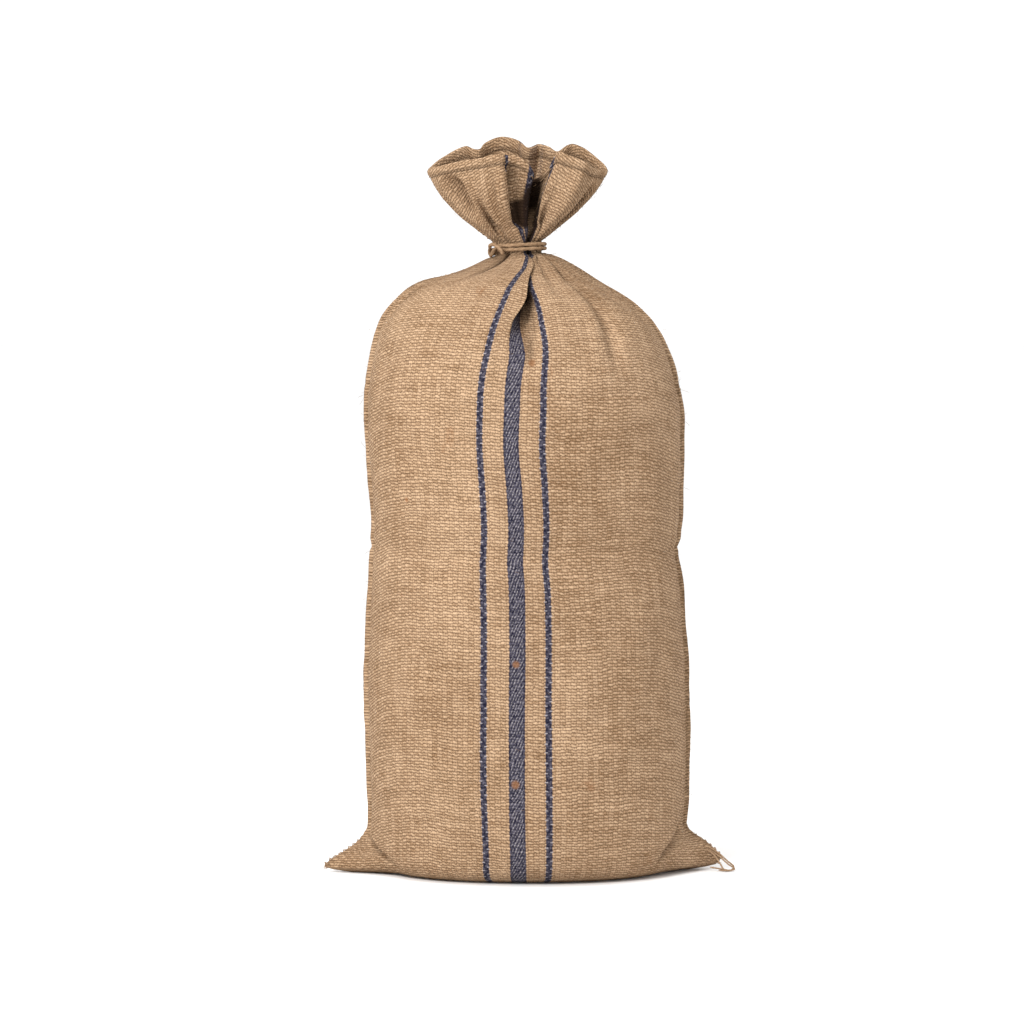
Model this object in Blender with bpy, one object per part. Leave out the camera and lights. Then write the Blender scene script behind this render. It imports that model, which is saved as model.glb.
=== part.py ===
"""A filled jute sack that stands on its bottom, with its neck gathered and tied.

Metres, +Z up, +X to the right, the striped front face towards -Y.  The origin is on the
resting surface, under the middle of the sack.

The sack is one piece of cloth.  A place on it is given by two numbers: how far round the
sack it lies, along the cloth from the left side seam (0) over the front to the right side
seam (HALF_ROUND) and over the back to the left seam again (ROUND), and how high it stands.
"""

import math

import bmesh
import bpy
import numpy as np

# ---------------------------------------------------------------------------------------
# Driving sizes
# ---------------------------------------------------------------------------------------

HALF_ROUND = 0.640          # cloth from one side seam to the other
ROUND = 2.0 * HALF_ROUND    # cloth once round the sack
BODY_HALF_WIDTH = 0.225     # the filled body at half height
BODY_HALF_DEPTH = 0.180
BODY_SQUARENESS = 2.15      # 2 is an ellipse, more is boxier

NECK_X = -0.0107            # the neck leans a little to the left of the body
NECK_Y = 0.0
NECK_RADIUS = 0.0345        # gathered cloth under the tie
NECK_TILT = 0.075           # rise of the neck and the tie for each metre to the right
TILT_FOOT = 0.8350          # the tilt grows from here, over TILT_RISE
TILT_RISE = 0.0350
WAIST_LOW = 0.8775          # the stretch of neck that the tie lies on
WAIST_HIGH = 0.8935

PLEAT_RISE = 0.0900         # a pleat deepens over this height above its foot
PLEAT_SHARPNESS = 1.5       # more makes narrower troughs
NECK_PLEAT = 0.0075         # draws a pleat of depth 1 in by this much at the neck
NECK_PLEAT_LIMIT = 2.4      # and no pleat deeper than this

SHEET = 0.0030              # the collar's cloth, creased and doubled at the hem
HOLLOW_FLOOR = 0.9220       # the collar is open down to this height
FLARE = 1.55                # more opens the collar sooner above the tie

SEAM_HALF_WIDTH = 0.0016    # crest of the overcast selvedges that stand out at each side
SEAM_FOOT = 0.0034          # half their width where they leave the cloth
SEAM_HEIGHT = 0.0062
SEAM_WAVE = 0.0016          # how far their height wavers,
SEAM_WAVER = 61.0           # in radians for each metre up
SEAM_SHIFT = 3.0            # and for each metre round, so that the two seams differ
SEAM_PRESS_FOOT = 0.8400    # near the neck the selvedges are pressed down
SEAM_PRESS_RISE = 0.0300
SEAM_PRESSED = 0.6

EAR_POINTEDNESS = 1.5       # of the bottom corners, as seen from above
EAR_PINCH = 0.45            # how much a corner that reaches EAR_REACH is flattened
EAR_REACH = 0.0600

LUMPS_START = 0.0500        # the filling's lumps grow from the base up to this height

TWINE = 0.0056              # diameter of the tie's twine
CLEARANCE = 0.0003          # between the tie and the neck
STRAND_GAP = 0.0004         # between the tie's turns
KNOT_BEARING = -132.0       # on the front, to the left
TURNS = 1.86                # round the neck, between the two ends at the knot
TURNS_START = 8.0           # degrees past the knot at which the turns begin

# Soft lumps of the filling: their depth, waves round the sack, radians up it, and phase.
LUMPS = (
    # depth   round   upward   phase
    (0.0018,  3.0,    9.0,     1.1),
    (0.0014,  5.0,    -13.0,   0.4),
    (0.0012,  2.0,    21.0,    2.3),
)

# Each section of the body: its height, how far it reaches to the left, right, front and
# back, how much its pleats are drawn in, how far the cloth is gathered towards its place
# at the neck (0 to 1), and how far it is turned about the upright, in degrees.
SECTIONS = (
    # height   left    right   front   back    pleats  gather  turn
    (0.0000, -0.1880, 0.1930, -0.1330, 0.1330, 0.0000, 0.000, 0.0),
    (0.0050, -0.2040, 0.2090, -0.1490, 0.1480, 0.0000, 0.000, 0.0),
    (0.0150, -0.2140, 0.2190, -0.1640, 0.1620, 0.0000, 0.000, 0.0),
    (0.0320, -0.2180, 0.2230, -0.1740, 0.1720, 0.0000, 0.000, 0.0),
    (0.0600, -0.2190, 0.2250, -0.1790, 0.1780, 0.0000, 0.000, 0.0),
    (0.1200, -0.2220, 0.2290, -0.1810, 0.1800, 0.0000, 0.000, 0.0),
    (0.2400, -0.2250, 0.2260, -0.1820, 0.1810, 0.0000, 0.000, 0.0),
    (0.3500, -0.2230, 0.2220, -0.1810, 0.1810, 0.0000, 0.000, -0.3),
    (0.4250, -0.2200, 0.2170, -0.1800, 0.1800, 0.0000, 0.000, -0.6),
    (0.4550, -0.2170, 0.2110, -0.1770, 0.1790, 0.0000, 0.000, -0.8),
    (0.4730, -0.2150, 0.2120, -0.1760, 0.1790, 0.0000, 0.000, -1.0),
    (0.4950, -0.2150, 0.2150, -0.1800, 0.1810, 0.0000, 0.000, -1.1),
    (0.5500, -0.2180, 0.2160, -0.1840, 0.1840, 0.0000, 0.000, -1.3),
    (0.6150, -0.2230, 0.2170, -0.1850, 0.1850, 0.0005, 0.000, -1.5),
    (0.6600, -0.2250, 0.2190, -0.1830, 0.1840, 0.0012, 0.010, -1.4),
    (0.7000, -0.2220, 0.2120, -0.1780, 0.1800, 0.0030, 0.040, -1.0),
    (0.7400, -0.2140, 0.2000, -0.1690, 0.1720, 0.0060, 0.090, -0.4),
    (0.7700, -0.2060, 0.1860, -0.1590, 0.1620, 0.0095, 0.150, 0.3),
    (0.7950, -0.1940, 0.1660, -0.1460, 0.1500, 0.0130, 0.220, 0.8),
    (0.8150, -0.1780, 0.1430, -0.1300, 0.1350, 0.0165, 0.320, 1.2),
    (0.8330, -0.1560, 0.1120, -0.1110, 0.1170, 0.0190, 0.460, 1.5),
    (0.8480, -0.1230, 0.0850, -0.0900, 0.0950, 0.0195, 0.640, 1.0),
    (0.8600, -0.0900, 0.0640, -0.0700, 0.0740, 0.0175, 0.840, 0.4),
    (0.8690, -0.0680, 0.0470, -0.0540, 0.0560, 0.0140, 0.960, 0.0),
    (0.8740, -0.0560, 0.0360, -0.0440, 0.0450, 0.0110, 1.000, 0.0),
)

# Where the cloth lies at the neck: the place round the cloth and its bearing in degrees
# (-180 left, -90 front, 0 right, 90 back).  The front fold swallows the striped cloth.
NECK_BEARINGS = (
    # cloth            bearing
    (0.0000,           -180.0),
    (0.2615,           -73.0),
    (0.3512,           -55.0),
    (HALF_ROUND,       0.0),
    (0.9600,           90.0),
    (ROUND,            180.0),
)

# Pleats that run down from the neck as troughs in the filled body: place round the cloth,
# half width along the cloth, depth as a share of the section's own, the height at which
# the trough fades out, and its lean, in metres round the cloth for a metre down.
PLEATS = (
    # cloth   half width  depth   foot    lean
    (0.0350,  0.018,      0.75,   0.760,  0.05),
    (0.0880,  0.024,      0.45,   0.790,  0.10),
    (0.1520,  0.026,      1.00,   0.812,  -0.35),
    (0.2120,  0.022,      0.35,   0.790,  -0.20),
    (0.3270,  0.030,      2.15,   0.700,  -0.02),
    (0.4000,  0.022,      0.45,   0.780,  0.05),
    (0.4640,  0.026,      1.15,   0.690,  -0.06),
    (0.5350,  0.022,      0.80,   0.770,  0.10),
    (0.5980,  0.020,      0.90,   0.740,  0.00),
    (0.6850,  0.022,      0.85,   0.750,  0.05),
    (0.7600,  0.028,      1.05,   0.700,  -0.05),
    (0.8300,  0.022,      0.60,   0.785,  0.10),
    (0.9050,  0.028,      1.30,   0.690,  0.05),
    (0.9850,  0.024,      0.70,   0.760,  -0.08),
    (1.0550,  0.028,      1.15,   0.710,  0.04),
    (1.1250,  0.022,      0.65,   0.780,  -0.05),
    (1.1900,  0.026,      1.00,   0.730,  0.06),
    (1.2450,  0.018,      0.60,   0.780,  0.00),
)

# The mouth's edge, one row for each crest, trough or corner of its folds: place round the
# cloth, and where that place stands.
MOUTH = (
    # cloth   x        y        height
    (0.000, -0.1390,  0.0000, 0.9970),   # left tip, on the left seam
    (0.045, -0.1310, -0.0280, 0.9990),
    (0.110, -0.1000, -0.0560, 1.0060),
    (0.165, -0.0680, -0.0690, 1.0110),
    (0.225, -0.0400, -0.0850, 1.0170),   # front left panel
    (0.242, -0.0320, -0.0810, 1.0175),   # its folded edge
    (0.262, -0.0280, -0.0600, 1.0160),
    (0.278, -0.0190, -0.0450, 1.0150),   # inner lobe begins
    (0.295, -0.0020, -0.0430, 1.0110),
    (0.311, 0.0110, -0.0330, 1.0000),    # its right edge
    (0.320, 0.0100, -0.0140, 0.9900),
    (0.331, 0.0190, -0.0030, 0.9900),    # floor of the front fold
    (0.342, 0.0330, -0.0100, 1.0020),
    (0.356, 0.0420, -0.0300, 1.0170),
    (0.372, 0.0510, -0.0440, 1.0195),    # front right panel's folded edge
    (0.430, 0.0790, -0.0500, 1.0080),
    (0.520, 0.1020, -0.0330, 0.9970),
    (0.640, 0.1140, 0.0000, 0.9990),     # right tip, on the right seam
    (0.710, 0.1030, 0.0280, 1.0120),
    (0.775, 0.0810, 0.0460, 1.0290),
    (0.812, 0.0640, 0.0490, 1.0340),     # crest
    (0.858, 0.0450, 0.0260, 1.0230),     # trough
    (0.905, 0.0330, 0.0520, 1.0300),
    (0.945, 0.0190, 0.0680, 1.0340),     # crest
    (0.992, 0.0020, 0.0450, 1.0290),     # trough
    (1.030, -0.0110, 0.0670, 1.0390),
    (1.075, -0.0360, 0.0860, 1.0450),    # highest crest
    (1.115, -0.0590, 0.0750, 1.0360),
    (1.145, -0.0690, 0.0540, 1.0260),    # trough
    (1.180, -0.0850, 0.0640, 1.0310),    # crest
    (1.235, -0.1190, 0.0400, 1.0150),
)

# Soft troughs and ridges in the collar's wall: place round the cloth, level (0 at the
# hollow's floor, 1 at the edge), half width along the cloth, half height, inward depth.
COLLAR_DENTS = (
    # cloth   level   half width  half height  depth
    (0.105,   0.45,   0.045,      0.50,        0.0110),
    (0.178,   0.05,   0.014,      0.50,        0.0060),
    (0.225,   0.35,   0.030,      0.50,        -0.0050),
    (0.470,   0.25,   0.025,      0.50,        0.0080),
    (0.560,   0.40,   0.035,      0.50,        -0.0050),
    (0.700,   0.35,   0.030,      0.50,        0.0070),
    (0.915,   0.30,   0.028,      0.50,        -0.0060),
    (1.080,   0.35,   0.040,      0.55,        -0.0060),
    (1.200,   0.35,   0.030,      0.50,        0.0080),
)

# The bottom corners of the folded cloth stand out at the side seams: the seam they lie on,
# the side, and for rising heights the reach of their tip and half their width in Y.
EARS = (
    {"seam": 0.0, "side": -1.0, "sweep": -0.030, "rows": (
        # height  tip reach  half width along the cloth
        (0.000, 0.0560, 0.080),
        (0.005, 0.0720, 0.092),
        (0.015, 0.0620, 0.098),
        (0.026, 0.0400, 0.098),
        (0.040, 0.0150, 0.080),
        (0.062, 0.0000, 0.060),
    )},
    {"seam": HALF_ROUND, "side": 1.0, "sweep": -0.014, "rows": (
        (0.000, 0.0330, 0.070),
        (0.005, 0.0480, 0.086),
        (0.015, 0.0540, 0.096),
        (0.028, 0.0420, 0.098),
        (0.042, 0.0170, 0.086),
        (0.060, 0.0000, 0.060),
    )},
)

# The tie's two ends at its knot, seen from outside: degrees round from the knot, diameters
# out from the turns, and metres up from the middle of the tie.
FIRST_END = (
    # round   out    up
    (-25.0,   1.60,  -0.0086),
    (-18.0,   1.50,  -0.0060),
    (-10.0,   1.25,  0.0005),
    (-2.0,    0.80,  0.0052),
)
LAST_END = (
    # round   out    up
    (-36.0,   0.62,  -0.0060),
    (-27.0,   1.20,  0.0020),
    (-16.0,   1.95,  0.0085),
    (-3.0,    2.35,  0.0085),
    (7.0,     2.25,  0.0025),
    (12.0,    2.15,  -0.0040),
    (14.0,    2.05,  -0.0072),
)

# Fineness of the meshes.  The body's columns lie between the seams: from, to, and steps.
COLUMN_SPANS = (
    # from                  to                   steps
    (SEAM_FOOT,              0.2450,              18),
    (0.2450,                 0.3750,              16),
    (0.3750,                 HALF_ROUND - SEAM_FOOT, 19),
    (HALF_ROUND + SEAM_FOOT, ROUND - SEAM_FOOT,   46),
)
BODY_RINGS = (0.0, 0.005, 0.014, 0.026, 0.042, 0.062, 0.095, 0.150, 0.220, 0.300, 0.380,
              0.435, 0.458, 0.473, 0.490, 0.530, 0.580, 0.625)
SHOULDER_RINGS = (0.655, 0.685, 0.712, 0.737, 0.760, 0.780, 0.798, 0.814, 0.829, 0.842,
                  0.853, 0.863, 0.870, 0.8745)
COLLAR_PARTS = (-1.0, -0.65, -0.30, 0.0, 0.10, 0.22, 0.36, 0.52, 0.69, 0.86, 1.0)
NORMAL_SPAN = 0.009         # cloth to each side that sets the wall's direction
BEARING_SAMPLES = 721       # round the body's section, to lay the cloth out evenly
TURN_STEPS = 26             # of the tie's turns
ROUTE_SAMPLES = 1200        # along the tie, to space its points evenly,
ROUTE_SPACING = 1.25        # in diameters
CREASE_ANGLE = 60.0         # edges sharper than this are shaded sharp


# ---------------------------------------------------------------------------------------
# Small curve tools
# ---------------------------------------------------------------------------------------

def ease(value):
    """0 below 0, 1 above 1, and a smooth S between."""
    value = np.clip(value, 0.0, 1.0)
    return value * value * (3.0 - 2.0 * value)


def bump(value):
    """1 at 0, falling smoothly to 0 at -1 and 1."""
    return np.where(np.abs(value) < 1.0, (1.0 - np.clip(value * value, 0, 1)) ** 2, 0.0)


def smooth_rows(rows, at):
    """Read a table whose first column is the place, as smooth curves through its rows."""
    rows = np.asarray(rows, dtype=float)
    knots = rows[:, 0]
    slopes = np.gradient(rows[:, 1:], knots, axis=0)
    at = np.clip(np.atleast_1d(np.asarray(at, dtype=float)), knots[0], knots[-1])
    i = np.clip(np.searchsorted(knots, at, side="right") - 1, 0, len(knots) - 2)
    step = (knots[i + 1] - knots[i])[:, None]
    t = ((at - knots[i])[:, None]) / step
    start, end = rows[i, 1:], rows[i + 1, 1:]
    return ((2 * t**3 - 3 * t**2 + 1) * start + (t**3 - 2 * t**2 + t) * step * slopes[i]
            + (3 * t**2 - 2 * t**3) * end + (t**3 - t**2) * step * slopes[i + 1])


def closed_rows(rows, period):
    """The rows of a closed outline with its neighbours repeated past both ends."""
    rows = np.asarray(rows, dtype=float)
    before, after = rows[-3:].copy(), rows[:3].copy()
    before[:, 0] -= period
    after[:, 0] += period
    return np.vstack((before, rows, after))


# ---------------------------------------------------------------------------------------
# The shape of the cloth
# ---------------------------------------------------------------------------------------

def seam_distance(cloth):
    """Signed way along the cloth to the nearer side seam."""
    return (cloth + 0.5 * HALF_ROUND) % HALF_ROUND - 0.5 * HALF_ROUND


def rounded(bearing, power):
    """Cosine and sine of a bearing, pushed out towards a rounded rectangle."""
    cosine, sine = np.cos(bearing), np.sin(bearing)
    return (np.sign(cosine) * np.abs(cosine) ** power, np.sign(sine) * np.abs(sine) ** power)


def body_bearing(cloth):
    """Bearing of a place on the filled body, where cloth lies evenly round the section."""
    fine = np.linspace(-math.pi, math.pi, BEARING_SAMPLES)
    across, along = rounded(fine, 2.0 / BODY_SQUARENESS)
    steps = np.hypot(np.diff(BODY_HALF_WIDTH * across), np.diff(BODY_HALF_DEPTH * along))
    length = np.concatenate(([0.0], np.cumsum(steps)))
    return np.interp(cloth / ROUND, length / length[-1], fine)


def neck_bearing(cloth):
    """Bearing of a place on the cloth where it is gathered at the neck."""
    table = np.asarray(NECK_BEARINGS)
    turns = np.floor(cloth / ROUND)
    degrees = np.interp(cloth - turns * ROUND, table[:, 0], table[:, 1])
    return np.radians(degrees + 360.0 * turns)


def pleat_depth(cloth, height):
    """How far the pleats draw the cloth in, for a section whose own depth is 1."""
    total = np.zeros_like(cloth)
    for place, half_width, depth, foot, lean in PLEATS:
        across = (cloth - place - lean * (WAIST_LOW - height) + HALF_ROUND) % ROUND
        across = (across - HALF_ROUND) / half_width
        trough = 1.0 / (1.0 + across * across) ** PLEAT_SHARPNESS
        total += depth * ease((height - foot) / PLEAT_RISE) * trough
    return total


def unevenness(cloth, height):
    """Soft lumps of the filling, a few millimetres."""
    turn = 2.0 * math.pi * cloth / ROUND
    total = np.zeros_like(cloth)
    for depth, waves, upward, phase in LUMPS:
        total += depth * np.sin(waves * turn + upward * height + phase)
    return total


def seam_ridge(cloth, height):
    """Outward height of the overcast selvedges, wavy along the seam."""
    across = np.abs(seam_distance(cloth))
    flank = np.clip((SEAM_FOOT - across) / (SEAM_FOOT - SEAM_HALF_WIDTH), 0.0, 1.0)
    wave = SEAM_WAVE * np.sin(SEAM_WAVER * height + SEAM_SHIFT * cloth)
    pressed = SEAM_PRESSED * ease((height - SEAM_PRESS_FOOT) / SEAM_PRESS_RISE)
    return flank * (SEAM_HEIGHT + wave) * (1.0 - pressed)


def ear_points(points, cloth, height):
    """Draw the bottom corners of the cloth out at the side seams."""
    for ear in EARS:
        if height >= ear["rows"][-1][0]:
            continue
        away = (cloth - ear["seam"] + HALF_ROUND) % ROUND - HALF_ROUND
        reach, half_width = smooth_rows(ear["rows"], height)[0]
        lift = np.clip(1.0 - np.abs(away) / half_width, 0.0, 1.0) ** EAR_POINTEDNESS
        pulled = lift * reach / EAR_REACH
        points[:, 0] += ear["side"] * reach * lift
        points[:, 1] += ear["sweep"] * pulled
        points[:, 1] *= 1.0 - EAR_PINCH * pulled
    return points


def tilted(points, amount):
    """Lift the right side of a section near the neck and lower its left side."""
    points[:, 2] += amount * NECK_TILT * (points[:, 0] - NECK_X)
    return points


def body_ring(cloth, height):
    """One level section of the filled body, a point for each place in cloth."""
    left, right, front, back, pleats, gather, turn = smooth_rows(SECTIONS, height)[0]
    bearing = (1.0 - gather) * body_bearing(cloth) + gather * neck_bearing(cloth)
    bearing = bearing + math.radians(turn)
    power = 2.0 / (BODY_SQUARENESS * (1.0 - gather) + 2.0 * gather)
    across, along = rounded(bearing, power)
    middle = 0.5 * (left + right)
    half_width = 0.5 * (right - left)
    half_depth = np.where(along < 0.0, -front, back)
    lumps = unevenness(cloth, height) * (1.0 - gather) * ease(height / LUMPS_START)
    outward = lumps + seam_ridge(cloth, height) - pleats * pleat_depth(cloth, height)
    points = np.column_stack((middle + (half_width + outward) * across,
                              (half_depth + outward) * along,
                              np.full_like(cloth, height)))
    return tilted(ear_points(points, cloth, height), ease((height - TILT_FOOT) / TILT_RISE))


def neck_ring(cloth, height):
    """The gathered cloth under the tie: a small round section with sharp pleats."""
    bearing = neck_bearing(cloth)
    drawn = np.minimum(pleat_depth(cloth, WAIST_LOW), NECK_PLEAT_LIMIT)
    radius = NECK_RADIUS - NECK_PLEAT * drawn
    points = np.column_stack((NECK_X + radius * np.cos(bearing),
                              NECK_Y + radius * np.sin(bearing),
                              np.full_like(cloth, height)))
    return tilted(points, 1.0)


def collar_rings(cloth, parts):
    """Sections of the flaring cloth above the tie, before its dents.

    Each part is -1 at the neck, 0 at the level floor of the hollow and 1 at the edge.
    """
    mouth = smooth_rows(closed_rows(MOUTH, ROUND), cloth)
    neck = neck_ring(cloth, WAIST_HIGH)
    floor = (HOLLOW_FLOOR - neck[:, 2]) / (mouth[:, 2] - neck[:, 2])
    rings = []
    for part in parts:
        share = floor + part * np.where(part < 0.0, floor, 1.0 - floor)
        flare = 1.0 - (1.0 - share) ** FLARE
        rings.append(neck + np.column_stack((flare, flare, share)) * (mouth - neck))
    return np.stack(rings)


def collar_inward(cloth, parts):
    """Unit vectors square to the collar's wall, pointing to its inside."""
    around = (collar_rings(cloth + NORMAL_SPAN, parts)
              - collar_rings(cloth - NORMAL_SPAN, parts))
    upward = np.gradient(collar_rings(cloth, parts), axis=0)
    inward = np.cross(upward, around)
    return inward / np.linalg.norm(inward, axis=2)[:, :, None]


def collar_wall(cloth, parts, thickness):
    """The collar's sections, dents pressed in, moved inwards by a thickness."""
    inwards = np.full((len(parts), len(cloth)), thickness)
    for place, level, half_width, half_height, amount in COLLAR_DENTS:
        across = bump((cloth - place) / half_width)
        upright = bump((np.asarray(parts) - level) / half_height)
        inwards += amount * upright[:, None] * across[None, :]
    return (collar_rings(cloth, parts)
            + collar_inward(cloth, parts) * inwards[:, :, None])


# ---------------------------------------------------------------------------------------
# Sack: a loft of unlike sections, filled up to the neck and hollow above it
# ---------------------------------------------------------------------------------------

def cloth_columns():
    """Places round the cloth that carry the mesh, and which of them the body keeps."""
    places, kept = [], []
    for seam in (0.0, HALF_ROUND):
        for offset in (-SEAM_HALF_WIDTH, SEAM_HALF_WIDTH):
            places.append((seam + offset) % ROUND)
            kept.append(True)
    shared = None
    for start, end, steps in COLUMN_SPANS:
        for k in range(1 if start == shared else 0, steps + 1):
            places.append(start + (end - start) * k / steps)
            kept.append(k % 2 == 0 or k == steps)
        shared = end
    order = np.argsort(places)
    return np.asarray(places)[order], np.asarray(kept)[order]


def add_ring(mesh, ring):
    return [mesh.verts.new(point) for point in ring]


def skin_rings(mesh, lower, upper):
    """Faces between two rings with the same columns."""
    count = len(lower)
    for i in range(count):
        j = (i + 1) % count
        mesh.faces.new((lower[i], lower[j], upper[j], upper[i]))


def skin_unlike_rings(mesh, lower, kept, upper):
    """Faces between a ring that keeps only some columns and one that has them all."""
    columns = np.flatnonzero(kept)
    for place, column in enumerate(columns):
        following = columns[(place + 1) % len(columns)]
        left, right = lower[place], lower[(place + 1) % len(columns)]
        mesh.faces.new((left, right, upper[following]))
        step = column
        while step != following:
            after = (step + 1) % len(upper)
            mesh.faces.new((left, upper[after], upper[step]))
            step = after


def build_sack():
    cloth, kept = cloth_columns()
    mesh = bmesh.new()

    body = [add_ring(mesh, body_ring(cloth[kept], height)) for height in BODY_RINGS]
    mesh.faces.new(list(reversed(body[0])))
    for lower, upper in zip(body, body[1:]):
        skin_rings(mesh, lower, upper)

    outer = [body_ring(cloth, height) for height in SHOULDER_RINGS]
    outer += [neck_ring(cloth, WAIST_LOW), neck_ring(cloth, WAIST_HIGH)]
    outer += list(collar_wall(cloth, COLLAR_PARTS, 0.0)[1:])
    outer = [add_ring(mesh, ring) for ring in outer]
    skin_unlike_rings(mesh, body[-1], kept, outer[0])
    for lower, upper in zip(outer, outer[1:]):
        skin_rings(mesh, lower, upper)

    lining = collar_wall(cloth, COLLAR_PARTS, SHEET)[COLLAR_PARTS.index(0.0):]
    lining[0, :, 2] = HOLLOW_FLOOR
    inner = [add_ring(mesh, ring) for ring in reversed(lining)]
    skin_rings(mesh, outer[-1], inner[0])
    for upper, lower in zip(inner, inner[1:]):
        skin_rings(mesh, upper, lower)
    floor = mesh.faces.new(inner[-1])
    floor.normal_update()
    bmesh.ops.triangulate(mesh, faces=[floor], ngon_method="EAR_CLIP")
    bmesh.ops.recalc_face_normals(mesh, faces=mesh.faces)
    return mesh


# ---------------------------------------------------------------------------------------
# Tie: one length of twine, two turns round the neck, its ends crossed in a half knot
# ---------------------------------------------------------------------------------------

def tie_point(degrees_round, out, up):
    bearing = math.radians(KNOT_BEARING + degrees_round)
    radius = NECK_RADIUS + CLEARANCE + (0.5 + out) * TWINE
    x = radius * math.cos(bearing)
    height = 0.5 * (WAIST_LOW + WAIST_HIGH) + up + NECK_TILT * x
    return (NECK_X + x, NECK_Y + radius * math.sin(bearing), height)


def tie_route():
    """Points chosen for the knot, with the turns worked out between its two ends."""
    route = list(FIRST_END)
    for k in range(TURN_STEPS + 1):
        turned = TURNS_START / 360.0 + (TURNS - TURNS_START / 360.0) * k / TURN_STEPS
        route.append((360.0 * turned, 0.0, (TWINE + STRAND_GAP) * (0.5 * TURNS - turned)))
    whole_turns = 360.0 * math.ceil(TURNS)
    route += [(whole_turns + degrees, out, up) for degrees, out, up in LAST_END]
    return [tie_point(*row) for row in route]


def even_route(points, spacing):
    """The smooth curve through the points, read at even steps."""
    points = np.asarray(points)
    along = np.concatenate(([0.0], np.cumsum(np.linalg.norm(np.diff(points, axis=0), axis=1))))
    rows = np.column_stack((along, points))
    fine = smooth_rows(rows, np.linspace(0.0, along[-1], ROUTE_SAMPLES))
    length = np.concatenate(([0.0], np.cumsum(np.linalg.norm(np.diff(fine, axis=0), axis=1))))
    count = round(length[-1] / spacing)
    even = np.linspace(0.0, length[-1], count + 1)
    return np.column_stack([np.interp(even, length, fine[:, axis]) for axis in range(3)])


def build_tie():
    curve = bpy.data.curves.new("tie", "CURVE")
    curve.dimensions = "3D"
    curve.bevel_depth = 0.5 * TWINE
    curve.bevel_resolution = 2
    curve.use_fill_caps = True
    route = even_route(tie_route(), ROUTE_SPACING * TWINE)
    spline = curve.splines.new("POLY")
    spline.points.add(len(route) - 1)
    for point, place in zip(spline.points, route):
        point.co = (*place, 1.0)
    return curve


# ---------------------------------------------------------------------------------------
# Materials
# ---------------------------------------------------------------------------------------

def plain_material(name, colour, roughness):
    material = bpy.data.materials.new(name)
    material.use_nodes = True
    shader = material.node_tree.nodes["Principled BSDF"]
    shader.inputs["Base Color"].default_value = (*colour, 1.0)
    shader.inputs["Roughness"].default_value = roughness
    shader.inputs["Metallic"].default_value = 0.0
    material.diffuse_color = (*colour, 1.0)
    return material


def jute_cloth_material():
    return plain_material("jute cloth", (0.47, 0.30, 0.16), 0.95)


def jute_twine_material():
    return plain_material("jute twine", (0.50, 0.33, 0.19), 0.90)


# ---------------------------------------------------------------------------------------
# Assembly
# ---------------------------------------------------------------------------------------

def clear_scene():
    for thing in list(bpy.data.objects):
        bpy.data.objects.remove(thing, do_unlink=True)


def add_object(name, data, material, collection):
    data.materials.append(material)
    thing = bpy.data.objects.new(name, data)
    collection.objects.link(thing)
    return thing


def main():
    clear_scene()
    collection = bpy.data.collections.new("jute sack")
    bpy.context.scene.collection.children.link(collection)

    shape = build_sack()
    sack_mesh = bpy.data.meshes.new("sack")
    shape.to_mesh(sack_mesh)
    shape.free()
    sack_mesh.shade_smooth()
    sack_mesh.set_sharp_from_angle(angle=math.radians(CREASE_ANGLE))
    add_object("sack", sack_mesh, jute_cloth_material(), collection)

    add_object("tie", build_tie(), jute_twine_material(), collection)


main()
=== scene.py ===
import math

import bpy
import numpy as np
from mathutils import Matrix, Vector, noise
from numpy.linalg import norm


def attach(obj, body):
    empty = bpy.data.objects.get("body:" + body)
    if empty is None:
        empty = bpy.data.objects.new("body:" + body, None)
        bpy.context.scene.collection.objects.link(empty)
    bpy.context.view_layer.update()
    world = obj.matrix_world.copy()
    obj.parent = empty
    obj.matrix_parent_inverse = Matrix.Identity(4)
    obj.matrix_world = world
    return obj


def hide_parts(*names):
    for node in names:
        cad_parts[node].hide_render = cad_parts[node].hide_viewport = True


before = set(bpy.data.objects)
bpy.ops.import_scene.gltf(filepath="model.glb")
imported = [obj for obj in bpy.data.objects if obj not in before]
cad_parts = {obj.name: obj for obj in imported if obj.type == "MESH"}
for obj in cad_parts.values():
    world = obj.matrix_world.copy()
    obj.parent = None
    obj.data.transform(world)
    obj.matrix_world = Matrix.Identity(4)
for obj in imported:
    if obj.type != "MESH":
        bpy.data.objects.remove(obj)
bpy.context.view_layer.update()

# --------------------
# Sack cloth.  One length of coarse jute cloth with blue warp stripes, folded at the bottom
# and sewn up both sides.  It is filled tight and gathered at the neck, and above the tie
# its hemmed mouth flares open.

# A place on the cloth is its way round from the left side seam, over the front, in metres.
HALF_ROUND = 0.64  # cloth from one side seam to the other
ROUND = 2.0 * HALF_ROUND
BODY_HALF_WIDTH = 0.225
BODY_HALF_DEPTH = 0.18
BODY_SQUARENESS = 2.15  # 2 is an ellipse, more is boxier

NECK_X = -0.0107
NECK_Y = 0.0
NECK_RADIUS = 0.0345
NECK_TILT = 0.075  # rise of the neck and the tie for each metre to the right
TILT_FOOT = 0.835
TILT_RISE = 0.035
WAIST_LOW = 0.8775  # the stretch of neck that the tie lies on
WAIST_HIGH = 0.8935

PLEAT_RISE = 0.09  # a pleat deepens over this height above its foot
PLEAT_SHARPNESS = 1.5
NECK_PLEAT = 0.0075
NECK_PLEAT_LIMIT = 2.4

CLOTH = 0.0018  # thickness of the cloth
HEM = 0.018  # height of the hem's band
HEM_PROUD = 0.0013  # how much the hem's turned layer thickens each side
HOLLOW_FLOOR = 0.922  # level 0 of the collar's tables, where the solid's hollow ends
FLARE = 1.55

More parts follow.
